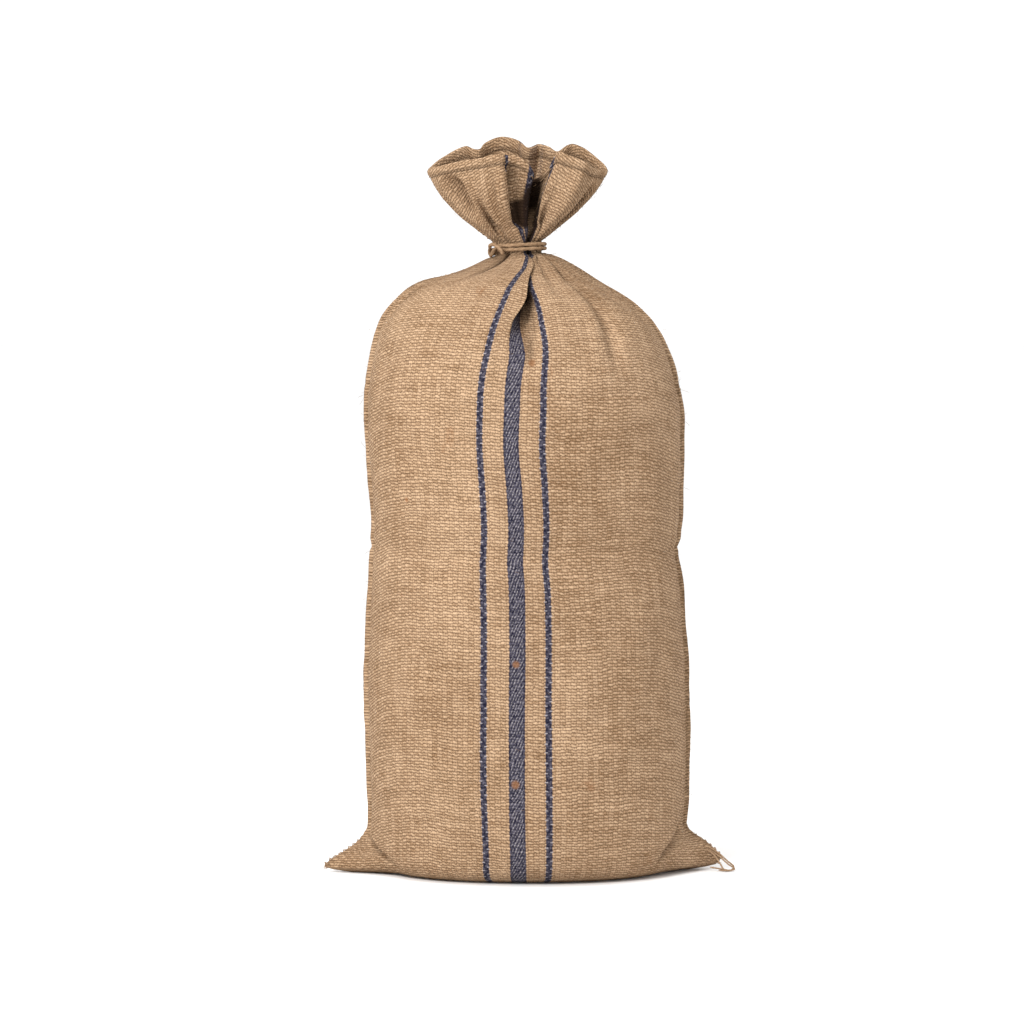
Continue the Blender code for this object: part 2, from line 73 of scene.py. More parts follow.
SEAM_HALF_WIDTH = 0.0016
SEAM_FOOT = 0.0034
SEAM_HEIGHT = 0.0062
SEAM_WAVE = 0.0006
SEAM_WAVER = 61.0
SEAM_SHIFT = 3.0
SEAM_PRESS_FOOT = 0.84
SEAM_PRESS_RISE = 0.03
SEAM_PRESSED = 0.6

EAR_POINTEDNESS = 1.5
EAR_PINCH = 0.45
EAR_REACH = 0.06
LUMPS_START = 0.05

# Slow swells of the filled cloth, as waves round it that turn on their way up.
LUMPS = (
    # depth  round  upward  phase
    (0.0018, 3.0,   9.0,    1.1),
    (0.0014, 5.0,   -13.0,  0.4),
    (0.0012, 2.0,   21.0,   2.3),
)

# Each section of the body: its height, its reach to the left, right, front and back, how
# much its pleats are drawn in, how far the cloth is gathered, and its turn in degrees.
SECTIONS = (
    # height left    right  front   back   pleats  gather  turn
    (0.0,    -0.188, 0.193, -0.133, 0.133, 0.0,    0.0,    -0.4),
    (0.005,  -0.204, 0.209, -0.149, 0.148, 0.0,    0.0,    -0.4),
    (0.015,  -0.214, 0.219, -0.164, 0.162, 0.0,    0.0,    -0.4),
    (0.032,  -0.218, 0.223, -0.174, 0.172, 0.0,    0.0,    -0.4),
    (0.06,   -0.219, 0.225, -0.179, 0.178, 0.0,    0.0,    -0.6),
    (0.12,   -0.222, 0.229, -0.181, 0.18,  0.0,    0.0,    -0.9),
    (0.24,   -0.225, 0.226, -0.182, 0.181, 0.0,    0.0,    -0.3),
    (0.35,   -0.223, 0.222, -0.181, 0.181, 0.0,    0.0,    0.0),
    (0.425,  -0.22,  0.217, -0.18,  0.18,  0.0,    0.0,    -0.1),
    (0.455,  -0.217, 0.211, -0.177, 0.179, 0.0,    0.0,    -0.2),
    (0.473,  -0.215, 0.212, -0.176, 0.179, 0.0,    0.0,    -0.3),
    (0.495,  -0.215, 0.215, -0.18,  0.181, 0.0,    0.0,    -0.5),
    (0.55,   -0.218, 0.216, -0.184, 0.184, 0.0,    0.0,    -0.9),
    (0.615,  -0.223, 0.217, -0.185, 0.185, 0.0005, 0.0,    -1.5),
    (0.66,   -0.225, 0.219, -0.183, 0.184, 0.0012, 0.01,   -1.4),
    (0.7,    -0.222, 0.212, -0.178, 0.18,  0.003,  0.04,   -1.5),
    (0.74,   -0.214, 0.2,   -0.169, 0.172, 0.006,  0.09,   -1.1),
    (0.77,   -0.206, 0.186, -0.159, 0.162, 0.0095, 0.15,   -0.4),
    (0.795,  -0.194, 0.166, -0.146, 0.15,  0.013,  0.22,   0.8),
    (0.815,  -0.178, 0.143, -0.13,  0.135, 0.0165, 0.32,   1.2),
    (0.833,  -0.156, 0.112, -0.111, 0.117, 0.019,  0.46,   1.5),
    (0.848,  -0.123, 0.085, -0.09,  0.095, 0.0195, 0.64,   1.0),
    (0.86,   -0.09,  0.064, -0.07,  0.074, 0.0175, 0.84,   0.4),
    (0.869,  -0.068, 0.047, -0.054, 0.056, 0.014,  0.96,   0.0),
    (0.874,  -0.056, 0.036, -0.044, 0.045, 0.011,  1.0,    0.0),
)

# Where the gathered cloth lies round the neck, in degrees.
NECK_BEARINGS = (
    # cloth      bearing
    (0.0,        -180.0),
    (0.2615,     -73.0),
    (0.3512,     -55.0),
    (HALF_ROUND, 0.0),
    (0.96,       90.0),
    (ROUND,      180.0),
)

# Troughs that run down from the neck: place, half width along the cloth, depth as a share
# of the section's own, the height at which it fades out, and its lean.
PLEATS = (
    # cloth wide   depth  foot   lean
    (0.035, 0.018, 0.75,  0.76,  0.05),
    (0.088, 0.024, 0.45,  0.79,  0.1),
    (0.14,  0.022, 2.0,   0.806, -0.35),
    (0.212, 0.022, 0.35,  0.79,  -0.2),
    (0.327, 0.03,  2.15,  0.7,   -0.02),
    (0.4,   0.018, 0.8,   0.78,  0.05),
    (0.476, 0.024, 1.6,   0.69,  -0.06),
    (0.535, 0.022, 0.8,   0.77,  0.1),
    (0.598, 0.02,  0.9,   0.74,  0.0),
    (0.685, 0.022, 0.85,  0.75,  0.05),
    (0.76,  0.028, 1.05,  0.7,   -0.05),
    (0.83,  0.022, 0.6,   0.785, 0.1),
    (0.905, 0.028, 1.3,   0.69,  0.05),
    (0.985, 0.024, 0.7,   0.76,  -0.08),
    (1.055, 0.028, 1.15,  0.71,  0.04),
    (1.125, 0.022, 0.65,  0.78,  -0.05),
    (1.19,  0.026, 1.0,   0.73,  0.06),
    (1.245, 0.018, 0.6,   0.78,  0.0),
)

# The mouth's edge: place round the cloth, and where that place stands.
MOUTH = (
    # cloth x        y       height
    (0.0,   -0.139,  0.0,    0.997),
    (0.045, -0.131,  -0.028, 0.999),
    (0.11,  -0.1,    -0.056, 1.006),
    (0.165, -0.068,  -0.069, 1.011),
    (0.222, -0.044,  -0.086, 1.0165),
    (0.239, -0.0325, -0.088, 1.0175),
    (0.246, -0.0305, -0.079, 1.017),
    (0.252, -0.035,  -0.06,  1.0165),
    (0.262, -0.029,  -0.043, 1.0165),
    (0.276, -0.015,  -0.046, 1.015),
    (0.29,  -0.003,  -0.047, 1.009),
    (0.299, 0.005,   -0.042, 1.002),
    (0.305, 0.0095,  -0.033, 0.994),
    (0.311, 0.01,    -0.024, 0.99),
    (0.319, 0.008,   -0.002, 0.983),
    (0.329, 0.013,   0.015,  0.983),
    (0.339, 0.025,   0.011,  0.993),
    (0.347, 0.036,   -0.008, 1.008),
    (0.354, 0.0415,  -0.03,  1.017),
    (0.366, 0.045,   -0.047, 1.0205),
    (0.395, 0.062,   -0.052, 1.015),
    (0.435, 0.083,   -0.05,  1.007),
    (0.475, 0.093,   -0.033, 1.0),
    (0.54,  0.106,   -0.016, 0.9965),
    (0.64,  0.114,   0.0,    0.999),
    (0.71,  0.103,   0.028,  1.012),
    (0.775, 0.081,   0.046,  1.029),
    (0.812, 0.064,   0.049,  1.034),
    (0.858, 0.045,   0.026,  1.023),
    (0.905, 0.033,   0.052,  1.03),
    (0.945, 0.019,   0.068,  1.034),
    (0.992, 0.002,   0.045,  1.029),
    (1.03,  -0.011,  0.067,  1.039),
    (1.075, -0.036,  0.086,  1.045),
    (1.115, -0.059,  0.075,  1.036),
    (1.145, -0.069,  0.054,  1.026),
    (1.18,  -0.085,  0.064,  1.031),
    (1.235, -0.119,  0.04,   1.015),
)

# Soft troughs and ridges in the collar: level 0 is the hollow's floor and 1 the edge.
# In these tables wide, high and long are half of what a row covers.
COLLAR_DENTS = (
    # cloth level  wide   high  depth
    (0.084, 0.42,  0.036, 0.48, 0.034),
    (0.165, 0.3,   0.026, 0.6,  -0.008),
    (0.235, 0.4,   0.022, 0.6,  -0.006),
    (0.28,  0.25,  0.02,  0.6,  0.008),
    (0.13,  -0.1,  0.013, 0.6,  0.016),
    (0.225, 0.35,  0.03,  0.5,  -0.005),
    (0.322, 0.3,   0.018, 0.65, 0.034),
    (0.392, 0.0,   0.012, 0.4,  0.013),
    (0.425, 0.4,   0.03,  0.6,  -0.007),
    (0.47,  0.25,  0.03,  0.6,  -0.005),
    (0.535, 0.2,   0.036, 0.6,  0.018),
    (0.7,   0.35,  0.03,  0.5,  0.007),
    (0.915, 0.3,   0.028, 0.5,  -0.006),
    (1.08,  0.35,  0.04,  0.55, -0.006),
    (1.2,   0.35,  0.03,  0.5,  0.008),
)

# Folds that lap sideways in the collar, at the same levels.
COLLAR_LAPS = (
    # cloth wide   level  high  right    back
    (0.376, 0.05,  0.38,  0.62, -0.0105, -0.003),
    (0.26,  0.062, 0.3,   0.66, -0.014,  -0.003),
    (0.246, 0.011, 0.45,  0.52, 0.0035,  -0.005),
    (0.262, 0.012, 0.45,  0.5,  -0.006,  0.011),
)

# The bottom corners: for rising heights, the reach of the tip and half its width.
EARS = (
    {"seam": 0.0, "side": -1.0, "sweep": -0.062, "rows": (
        (0.0, 0.056, 0.08),
        (0.005, 0.072, 0.092),
        (0.015, 0.062, 0.098),
        (0.026, 0.04, 0.098),
        (0.04, 0.015, 0.08),
        (0.062, 0.0, 0.06),
    )},
    {"seam": HALF_ROUND, "side": 1.0, "sweep": -0.014, "rows": (
        (0.0, 0.033, 0.07),
        (0.005, 0.048, 0.086),
        (0.015, 0.054, 0.096),
        (0.028, 0.045, 0.098),
        (0.043, 0.026, 0.09),
        (0.056, 0.006, 0.07),
        (0.066, 0.0, 0.06),
    )},
)

# Single creases in the filled cloth: place and height of the middle, half length and half
# width, how far it leans round the cloth for each metre up, and how deep it is pressed.
CREASES = (
    # cloth height  long   wide   lean   depth
    (0.025, 0.818,  0.045, 0.01,  0.1,   0.012),
    (0.01,  0.815,  0.05,  0.009, 0.05,  -0.003),
    (0.6,   0.815,  0.045, 0.012, -0.2,  0.009),
    (0.33,  0.79,   0.085, 0.012, 0.02,  0.006),
    (0.322, 0.755,  0.06,  0.02,  0.05,  0.003),
    (0.3,   0.81,   0.06,  0.011, -0.1,  -0.0035),
    (0.472, 0.78,   0.085, 0.019, 0.05,  0.01),
    (0.44,  0.78,   0.08,  0.02,  0.05,  -0.004),
    (0.567, 0.05,   0.04,  0.017, 1.5,   0.014),
    (0.067, 0.033,  0.03,  0.014, -2.6,  0.013),
    (0.09,  0.7,    0.1,   0.03,  0.2,   0.0025),
    (0.56,  0.56,   0.12,  0.035, -0.15, 0.0022),
    (0.52,  0.3,    0.16,  0.04,  0.1,   0.002),
    (0.13,  0.25,   0.15,  0.038, -0.1,  0.0018),
    (0.85,  0.33,   0.16,  0.04,  0.1,   0.0025),
    (1.08,  0.6,    0.14,  0.04,  -0.12, 0.0025),
    (0.98,  0.15,   0.12,  0.04,  0.15,  0.002),
)

# Creases that lie across the cloth, where the empty sack was once folded.
FOLD_LINES = (
    # height high   depth    waver
    (0.464,  0.007, 0.0022,  0.004),
    (0.476,  0.006, -0.0014, 0.003),
    (0.69,   0.009, 0.0007,  0.006),
    (0.235,  0.009, 0.0006,  0.006),
)

# Painted shade in deep folds: where a fold is shut deep, the cloth's colour is painted dark,
# as if no light falls there: the place and height of its middle, its lean as above, and how
# dark the painted shade is; a share above 1 darkens more of it.
PAINTED_FOLD_SHADES = (
    # cloth wide   height  high   lean  share
    (0.318, 0.017, 0.825,  0.07,  0.0,  1.3),
    (0.325, 0.021, 0.968,  0.042, 0.0,  1.9),
    (0.3,   0.034, 0.934,  0.024, 0.5,  1.9),
    (0.288, 0.036, 0.934,  0.026, 0.0,  2.8),
    (0.303, 0.012, 0.955,  0.028, 0.0,  1.5),
    (0.312, 0.016, 0.955,  0.03,  0.0,  2.0),
    (0.318, 0.014, 0.985,  0.035, 0.0,  1.2),
    (0.35,  0.015, 0.925,  0.045, 0.0,  1.8),
    (0.31,  0.08,  0.888,  0.022, 0.0,  1.8),
    (0.342, 0.011, 0.828,  0.04,  0.0,  1.3),
    (0.252, 0.006, 0.96,   0.06,  0.0,  0.7),
    (0.132, 0.009, 0.92,   0.03,  0.6,  0.6),
    (0.392, 0.009, 0.915,  0.028, 0.0,  0.6),
    (0.136, 0.014, 0.864,  0.022, 0.0,  1.2),
    (0.477, 0.014, 0.862,  0.022, 0.0,  1.2),
    (0.025, 0.006, 0.818,  0.038, 0.1,  0.8),
    (0.6,   0.006, 0.815,  0.035, -0.2, 0.5),
    (0.328, 0.01,  0.745,  0.035, 0.0,  0.5),
    (0.568, 0.009, 0.05,   0.038, 1.5,  0.5),
    (0.067, 0.008, 0.033,  0.026, -2.6, 0.5),
)

# The deep fold on the front below the tie: the cloth left of it laps over the middle
# stripe, and the cloth right of it is drawn to the left.
TUCK = (
    # cloth  right    back
    (0.2,    0.0,     0.0),
    (0.2615, -0.004,  0.0),
    (0.284,  -0.003,  -0.003),
    (0.293,  0.001,   -0.006),
    (0.3,    -0.003,  0.005),
    (0.317,  -0.0095, 0.016),
    (0.331,  -0.0125, 0.013),
    (0.339,  -0.014,  -0.001),
    (0.3512, -0.015,  -0.004),
    (0.38,   -0.011,  -0.002),
    (0.42,   -0.005,  0.0),
    (0.47,   0.0,     0.0),
)
TUCK_FOOT = 0.73  # it grows from here, over TUCK_RISE
TUCK_RISE = 0.1
TUCK_END = 0.014  # and is gone this far above the neck's lower edge

# Below and beside the fold the stripes bend to one side.
FRONT_BENDS = (
    # cloth wide   height  high   right
    (0.308, 0.03,  0.786,  0.056, -0.012),
    (0.289, 0.015, 0.815,  0.034, 0.007),
)

# The mesh: its columns round the cloth, and its rings up the body.
COLUMN_SPANS = (
    # from                   to                      steps
    (SEAM_FOOT,              0.275,                  58),
    (0.275,                  0.375,                  40),
    (0.375,                  HALF_ROUND - SEAM_FOOT, 58),
    (HALF_ROUND + SEAM_FOOT, ROUND - SEAM_FOOT,      136),
)
BODY_TOP = 0.874
RING_SPANS = ((0.0, 0.06, 16), (0.06, 0.62, 92), (0.62, BODY_TOP, 62))
NECK_STEPS = 4
BASE_SHARES = (0.04, 0.2, 0.36, 0.52, 0.68, 0.84)
NORMAL_SPAN = 0.006  # over which the collar's own direction is measured
RISES_EVENED = (24, 9.0)  # columns that are averaged, and the spread of their weights
CROWDING_EVENED = (10, 4.0)
MOST_CROWDED = 3.0

HEM_STANDS = 0.8  # the share of the collar's slant that is above the hollow's floor
HEM_STEP = 0.02  # levels: how soon the hem thickens,
STITCH_UP = 0.015  # how far above the hem's foot it is sewn,
STITCH_REACH = 0.04  # half the height of the groove that the sewing draws in,
RIM_REACH = 0.025  # and how soon its edge rounds off
STITCH_DEPTH = 0.0013
THIN_EDGE = 0.35

RIPPLES = ((0.055, 0.0016), (0.022, 0.0007))  # size and height of small unevenness
RIPPLE_FOOT = 0.04


def ease(value):
    value = np.clip(value, 0.0, 1.0)
    return value * value * (3.0 - 2.0 * value)


def bump(value):
    return np.where(np.abs(value) < 1.0, (1.0 - np.clip(value * value, 0, 1)) ** 2, 0.0)


def smooth_rows(rows, at):
    """Read a table whose first column is the place, as smooth curves through its rows."""
    rows = np.asarray(rows, dtype=float)
    knots = rows[:, 0]
    slopes = np.gradient(rows[:, 1:], knots, axis=0)
    at = np.clip(np.atleast_1d(np.asarray(at, dtype=float)), knots[0], knots[-1])
    i = np.clip(np.searchsorted(knots, at, side="right") - 1, 0, len(knots) - 2)
    step = (knots[i + 1] - knots[i])[:, None]
    t = ((at - knots[i])[:, None]) / step
    start, end = rows[i, 1:], rows[i + 1, 1:]
    return ((2 * t**3 - 3 * t**2 + 1) * start + (t**3 - 2 * t**2 + t) * step * slopes[i]
            + (3 * t**2 - 2 * t**3) * end + (t**3 - t**2) * step * slopes[i + 1])


def closed_rows(rows, period):
    rows = np.asarray(rows, dtype=float)
    before, after = rows[-3:].copy(), rows[:3].copy()
    before[:, 0] -= period
    after[:, 0] += period
    return np.vstack((before, rows, after))


def around(cloth, place):
    """Signed way round the cloth from a place, the shorter way."""
    return (cloth - place + HALF_ROUND) % ROUND - HALF_ROUND


def rounded(bearing, power):
    cosine, sine = np.cos(bearing), np.sin(bearing)
    return (np.sign(cosine) * np.abs(cosine) ** power, np.sign(sine) * np.abs(sine) ** power)


def body_bearing(cloth):
    fine = np.linspace(-math.pi, math.pi, 1441)
    across, along = rounded(fine, 2.0 / BODY_SQUARENESS)
    steps = np.hypot(np.diff(BODY_HALF_WIDTH * across), np.diff(BODY_HALF_DEPTH * along))
    length = np.concatenate(([0.0], np.cumsum(steps)))
    return np.interp(cloth / ROUND, length / length[-1], fine)


def neck_bearing(cloth):
    table = np.asarray(NECK_BEARINGS)
    turns = np.floor(cloth / ROUND)
    degrees = np.interp(cloth - turns * ROUND, table[:, 0], table[:, 1])
    return np.radians(degrees + 360.0 * turns)


def pleat_depth(cloth, height):
    total = np.zeros_like(cloth)
    for place, half_width, depth, foot, lean in PLEATS:
        across = around(cloth, place + lean * (WAIST_LOW - height)) / half_width
        trough = 1.0 / (1.0 + across * across) ** PLEAT_SHARPNESS
        total += depth * ease((height - foot) / PLEAT_RISE) * trough
    return total


def unevenness(cloth, height):
    turn = 2.0 * math.pi * cloth / ROUND
    total = np.zeros_like(cloth)
    for depth, waves, upward, phase in LUMPS:
        total += depth * np.sin(waves * turn + upward * height + phase)
    return total


def creases(cloth, height):
    """How far single creases and old fold lines press the cloth in."""
    total = np.zeros_like(cloth)
    for place, middle, half_length, half_width, lean, depth in CREASES:
        across = around(cloth, place + lean * (height - middle)) / half_width
        total += depth * bump((height - middle) / half_length) * bump(across)
    for middle, half_height, depth, waver in FOLD_LINES:
        line = middle + waver * np.sin(2.0 * math.pi * cloth / ROUND * 4.0 + 40.0 * middle)
        total += depth * bump((height - line) / half_height)
    return total


def seam_ridge(cloth, height):
    seam = (cloth + 0.5 * HALF_ROUND) % HALF_ROUND - 0.5 * HALF_ROUND
    flank = np.clip((SEAM_FOOT - np.abs(seam)) / (SEAM_FOOT - SEAM_HALF_WIDTH), 0.0, 1.0)
    wave = SEAM_WAVE * np.sin(SEAM_WAVER * height + SEAM_SHIFT * cloth)
    pressed = SEAM_PRESSED * ease((height - SEAM_PRESS_FOOT) / SEAM_PRESS_RISE)
    return flank * (SEAM_HEIGHT + wave) * (1.0 - pressed)


def ear_points(points, cloth, height):
    for ear in EARS:
        if height >= ear["rows"][-1][0]:
            continue
        reach, half_width = smooth_rows(ear["rows"], height)[0]
        away = np.abs(around(cloth, ear["seam"]))
        lift = np.clip(1.0 - away / half_width, 0.0, 1.0) ** EAR_POINTEDNESS
        pulled = lift * reach / EAR_REACH
        points[:, 0] += ear["side"] * reach * lift
        points[:, 1] += ear["sweep"] * pulled
        points[:, 1] *= 1.0 - EAR_PINCH * pulled
    return points


def tucked(points, cloth, height):
    """Lap the left side of the front fold over the cloth beside it."""
    lap = ease((height - TUCK_FOOT) / TUCK_RISE) * ease((WAIST_LOW - height) / TUCK_END)
    moved = smooth_rows(TUCK, np.clip(cloth, TUCK[0][0], TUCK[-1][0]))
    points[:, 0] += lap * moved[:, 0]
    points[:, 1] += lap * moved[:, 1]
    for place, half_width, middle, half_height, right in FRONT_BENDS:
        points[:, 0] += (right * bump(around(cloth, place) / half_width)
                         * bump((height - middle) / half_height))
    return points


def tilted(points, amount):
    points[:, 2] += amount * NECK_TILT * (points[:, 0] - NECK_X)
    return points


def body_ring(cloth, height):
    """One level section of the filled body."""
    left, right, front, back, pleats, gather, turn = smooth_rows(SECTIONS, height)[0]
    bearing = (1.0 - gather) * body_bearing(cloth) + gather * neck_bearing(cloth)
    bearing = bearing + math.radians(turn)
    power = 2.0 / (BODY_SQUARENESS * (1.0 - gather) + 2.0 * gather)
    across, along = rounded(bearing, power)
    half_depth = np.where(along < 0.0, -front, back)
    filled = ease(height / LUMPS_START)
    outward = (unevenness(cloth, height) * (1.0 - gather) * filled
               - creases(cloth, height) * filled
               + seam_ridge(cloth, height) - pleats * pleat_depth(cloth, height))
    points = np.column_stack((0.5 * (left + right) + (0.5 * (right - left) + outward) * across,
                              (half_depth + outward) * along,
                              np.full_like(cloth, height)))
    points = tucked(ear_points(points, cloth, height), cloth, height)
    return tilted(points, ease((height - TILT_FOOT) / TILT_RISE))


def neck_ring(cloth, height):
    """The gathered cloth under the tie."""
    bearing = neck_bearing(cloth)
    drawn = np.minimum(pleat_depth(cloth, WAIST_LOW), NECK_PLEAT_LIMIT)
    radius = NECK_RADIUS - NECK_PLEAT * drawn
    points = np.column_stack((NECK_X + radius * np.cos(bearing),
                              NECK_Y + radius * np.sin(bearing),
                              np.full_like(cloth, height)))
    return tilted(points, 1.0)


def collar_rings(cloth, parts):
    """Sections of the flaring cloth: -1 at the neck, 0 at the hollow's floor, 1 at the edge."""
    mouth = smooth_rows(closed_rows(MOUTH, ROUND), cloth)
    neck = neck_ring(cloth, WAIST_HIGH)
    floor = (HOLLOW_FLOOR - neck[:, 2]) / (mouth[:, 2] - neck[:, 2])
    rings = []
    for part in parts:
        share = floor + part * np.where(part < 0.0, floor, 1.0 - floor)
        flare = 1.0 - (1.0 - share) ** FLARE
        rings.append(neck + np.column_stack((flare, flare, share)) * (mouth - neck))
    return np.stack(rings)


def collar_inward(cloth, parts):
    beside = (collar_rings(cloth + NORMAL_SPAN, parts)
              - collar_rings(cloth - NORMAL_SPAN, parts))
    upward = np.gradient(collar_rings(cloth, parts), axis=0)
    inward = np.cross(upward, beside)
    return inward / norm(inward, axis=2)[:, :, None]


def collar_wall(cloth, parts, inset):
    """The collar's sections, dents pressed in, moved inwards by an inset for each part."""
    inwards = np.repeat(inset[:, None], len(cloth), axis=1)
    for place, level, half_width, half_height, amount in COLLAR_DENTS:
        upright = amount * bump((parts - level) / half_height)[:, None]
        inwards += upright * bump(around(cloth, place) / half_width)
    wall = collar_rings(cloth, parts) + collar_inward(cloth, parts) * inwards[:, :, None]
    for place, half_width, level, half_height, right, back in COLLAR_LAPS:
        upright = bump((parts - level) / half_height)[:, None]
        lap = upright * bump(around(cloth, place) / half_width)
        wall[:, :, 0] += right * lap
        wall[:, :, 1] += back * lap
    return wall


def cloth_columns():
    """Places round the cloth that carry the mesh."""
    places = []
    for seam in (0.0, HALF_ROUND):
        places += [(seam - SEAM_HALF_WIDTH) % ROUND, seam + SEAM_HALF_WIDTH]
    for start, end, steps in COLUMN_SPANS:
        places += list(np.linspace(start, end, steps + 1))
    return np.unique(np.round(places, 6))


def placed(name, data):
    thing = bpy.data.objects.new(name, data)
    bpy.context.scene.collection.objects.link(thing)
    return thing


def mesh_piece(name, corners, faces, map_name, loops):
    mesh = bpy.data.meshes.new(name)
    mesh.from_pydata(corners, [], faces)
    layer = mesh.uv_layers.new(name=map_name)
    layer.uv.foreach_set("vector", np.asarray(loops, dtype=np.float32).ravel())
    mesh.shade_smooth()
    return placed(name, mesh)


def skin(name, rings, places, rises):
    """A closed mesh over rings of points; its map gives each corner its place in the cloth."""
    rings = np.asarray(rings)
    count, around_count = rings.shape[:2]
    lower = np.arange(count - 1)[:, None] * around_count
    column = np.arange(around_count)[None, :]
    following = (column + 1) % around_count
    faces = np.stack((lower + column, lower + following, lower + around_count + following,
                      lower + around_count + column), axis=2).reshape(-1, 4)
    corner_u = np.stack((places, np.append(places[1:], places[0] + ROUND)))
    u = np.stack((corner_u[0], corner_u[1], corner_u[1], corner_u[0]), axis=1)
    u = np.repeat(u[None], count - 1, axis=0).reshape(-1)
    v = np.asarray(rises).reshape(-1)[faces].reshape(-1)
    faces = faces.tolist()
    loops = np.column_stack((u, v))
    ends = (list(range(around_count))[::-1],
            list(range((count - 1) * around_count, count * around_count)))
    for end in ends:
        faces.append(end)
        flat = rings.reshape(-1, 3)[end]
        loops = np.vstack((loops, flat[:, :2] + (0.5 * HALF_ROUND, 0.0)))
    return mesh_piece(name, rings.reshape(-1, 3).tolist(), faces, "cloth", loops)


def evened_round(values, span, spread):
    """Rows of values, each smoothed round the ring."""
    kernel = np.exp(-0.5 * (np.arange(-span, span + 1) / spread) ** 2)
    kernel /= kernel.sum()
    wrapped = np.concatenate((values[:, -span:], values, values[:, :span]), axis=1)
    width = values.shape[1]
    return sum(weight * wrapped[:, k:k + width] for k, weight in enumerate(kernel))


def seated_rises(rings):
    """How far up the cloth each point lies, along its own upright yarn."""
    steps = norm(np.diff(rings, axis=0), axis=2)
    steps = evened_round(steps, *RISES_EVENED)
    return np.vstack((np.zeros(rings.shape[1]), np.cumsum(steps, axis=0)))


places = cloth_columns()
heights = np.unique(np.concatenate([np.linspace(a, b, n + 1) for a, b, n in RING_SPANS]))
body_rings = [body_ring(places, height) for height in heights]
neck_heights = np.linspace(WAIST_LOW, WAIST_HIGH, NECK_STEPS)
body_rings += [neck_ring(places, height) for height in neck_heights]

base_middle = body_rings[0].mean(axis=0)
base_rings = [base_middle + share * (body_rings[0] - base_middle) for share in BASE_SHARES]

collar_parts = np.concatenate((np.linspace(-1.0, 0.0, 12)[1:], np.linspace(0.0, 1.0, 34)[1:]))
parts = np.concatenate(([-1.0], collar_parts))
plain_rings = collar_rings(places, parts)
slant = norm(np.diff(plain_rings, axis=0), axis=2).sum(axis=0).mean()
hem_foot = 1.0 - HEM / (slant * HEM_STANDS)
in_hem = ease((parts - hem_foot) / HEM_STEP)
stitch_groove = bump((parts - hem_foot - STITCH_UP) / STITCH_REACH)
to_rim = np.clip((parts - (1.0 - RIM_REACH)) / RIM_REACH, 0.0, 1.0)
rim_roll = np.sqrt(np.clip(1.0 - to_rim ** 2, 0.0, 1.0))
half_thickness = 0.5 * CLOTH + HEM_PROUD * in_hem
half_thickness = (half_thickness * (THIN_EDGE + (1.0 - THIN_EDGE) * rim_roll)
                  - STITCH_DEPTH * stitch_groove)
outer_wall = collar_wall(places, parts, 0.5 * CLOTH - half_thickness)
lining_wall = collar_wall(places, parts, 0.5 * CLOTH + half_thickness)

outside = np.stack(base_rings + body_rings + list(outer_wall[1:]))
inside = lining_wall[::-1]


def cloth_ripple(points):
    """Small unevenness of real cloth, taken from a smooth field in space."""
    moved = np.zeros(points.shape[:2])
    for size, amount in RIPPLES:
        values = [noise.noise(Vector(point) / size) for point in points.reshape(-1, 3)]
        moved += amount * np.asarray(values).reshape(points.shape[:2])
    return moved


def ring_normals(rings):
    beside = np.roll(rings, -1, axis=1) - np.roll(rings, 1, axis=1)
    upward = np.gradient(rings, axis=0)
    outward = np.cross(beside, upward)
    return outward / np.maximum(norm(outward, axis=2), 1e-9)[:, :, None]


ripple = cloth_ripple(outside) * ease(outside[:, :, 2] / RIPPLE_FOOT)
base_count = len(base_rings)
ripple[:base_count + 1] = 0.0
outside_moved = outside + ring_normals(outside) * ripple[:, :, None]
inside_moved = inside - ring_normals(inside) * cloth_ripple(inside)[:, :, None]
all_rings = np.concatenate((outside_moved, inside_moved))
rises = seated_rises(all_rings)
rises -= rises[base_count][None, :]
sack_cloth = skin("sack_cloth", all_rings, places, rises)


def paint_points(thing, name, values):
    """Store one number for each point, for the material to read."""
    layer = thing.data.attributes.new(name=name, type="FLOAT", domain="POINT")
    layer.data.foreach_set("value", np.asarray(values, dtype=np.float32).ravel())


def crowding(rings, places):
    """How much cloth lies in each length round the sack, where it is gathered."""
    beside = norm(np.roll(rings, -1, axis=1) - rings, axis=2)
    cloth_beside = np.roll(places, -1) - places
    cloth_beside[-1] += ROUND
    length = evened_round(beside, *CROWDING_EVENED)
    cloth_length = evened_round(np.broadcast_to(cloth_beside, beside.shape), *CROWDING_EVENED)
    return np.clip(cloth_length / np.maximum(length, 1e-6), 1.0, MOST_CROWDED)


def painted_fold_shade_share(rings, places):
    """How much painted shade darkens the cloth where it is shut deep in a fold."""
    height = rings[:, :, 2]
    share = np.zeros(height.shape)
    for place, half_width, middle, half_height, lean, amount in PAINTED_FOLD_SHADES:
        across = bump(around(places, place + lean * (height - middle)) / half_width)
        share += amount * across * bump((height - middle) / half_height)
    return np.clip(share, 0.0, 1.0)


each_column = np.ones(len(places))
outside_count = len(base_rings) + len(body_rings)
on_outside = np.concatenate((np.ones(len(outside)), np.zeros(len(inside))))
# Painted shade along the hem's stitch groove, as a mask for the material.
painted_stitch_shade = np.concatenate((np.zeros(outside_count), stitch_groove[1:], stitch_groove[::-1]))
paint_points(sack_cloth, "crowding", crowding(all_rings, places))
# Painted shade: a mask of the deep folds, where the material paints the cloth dark.
paint_points(sack_cloth, "painted_fold_shade", painted_fold_shade_share(all_rings, places))
paint_points(sack_cloth, "outside", on_outside[:, None] * each_column)
paint_points(sack_cloth, "painted_stitch_shade", painted_stitch_shade[:, None] * each_column)


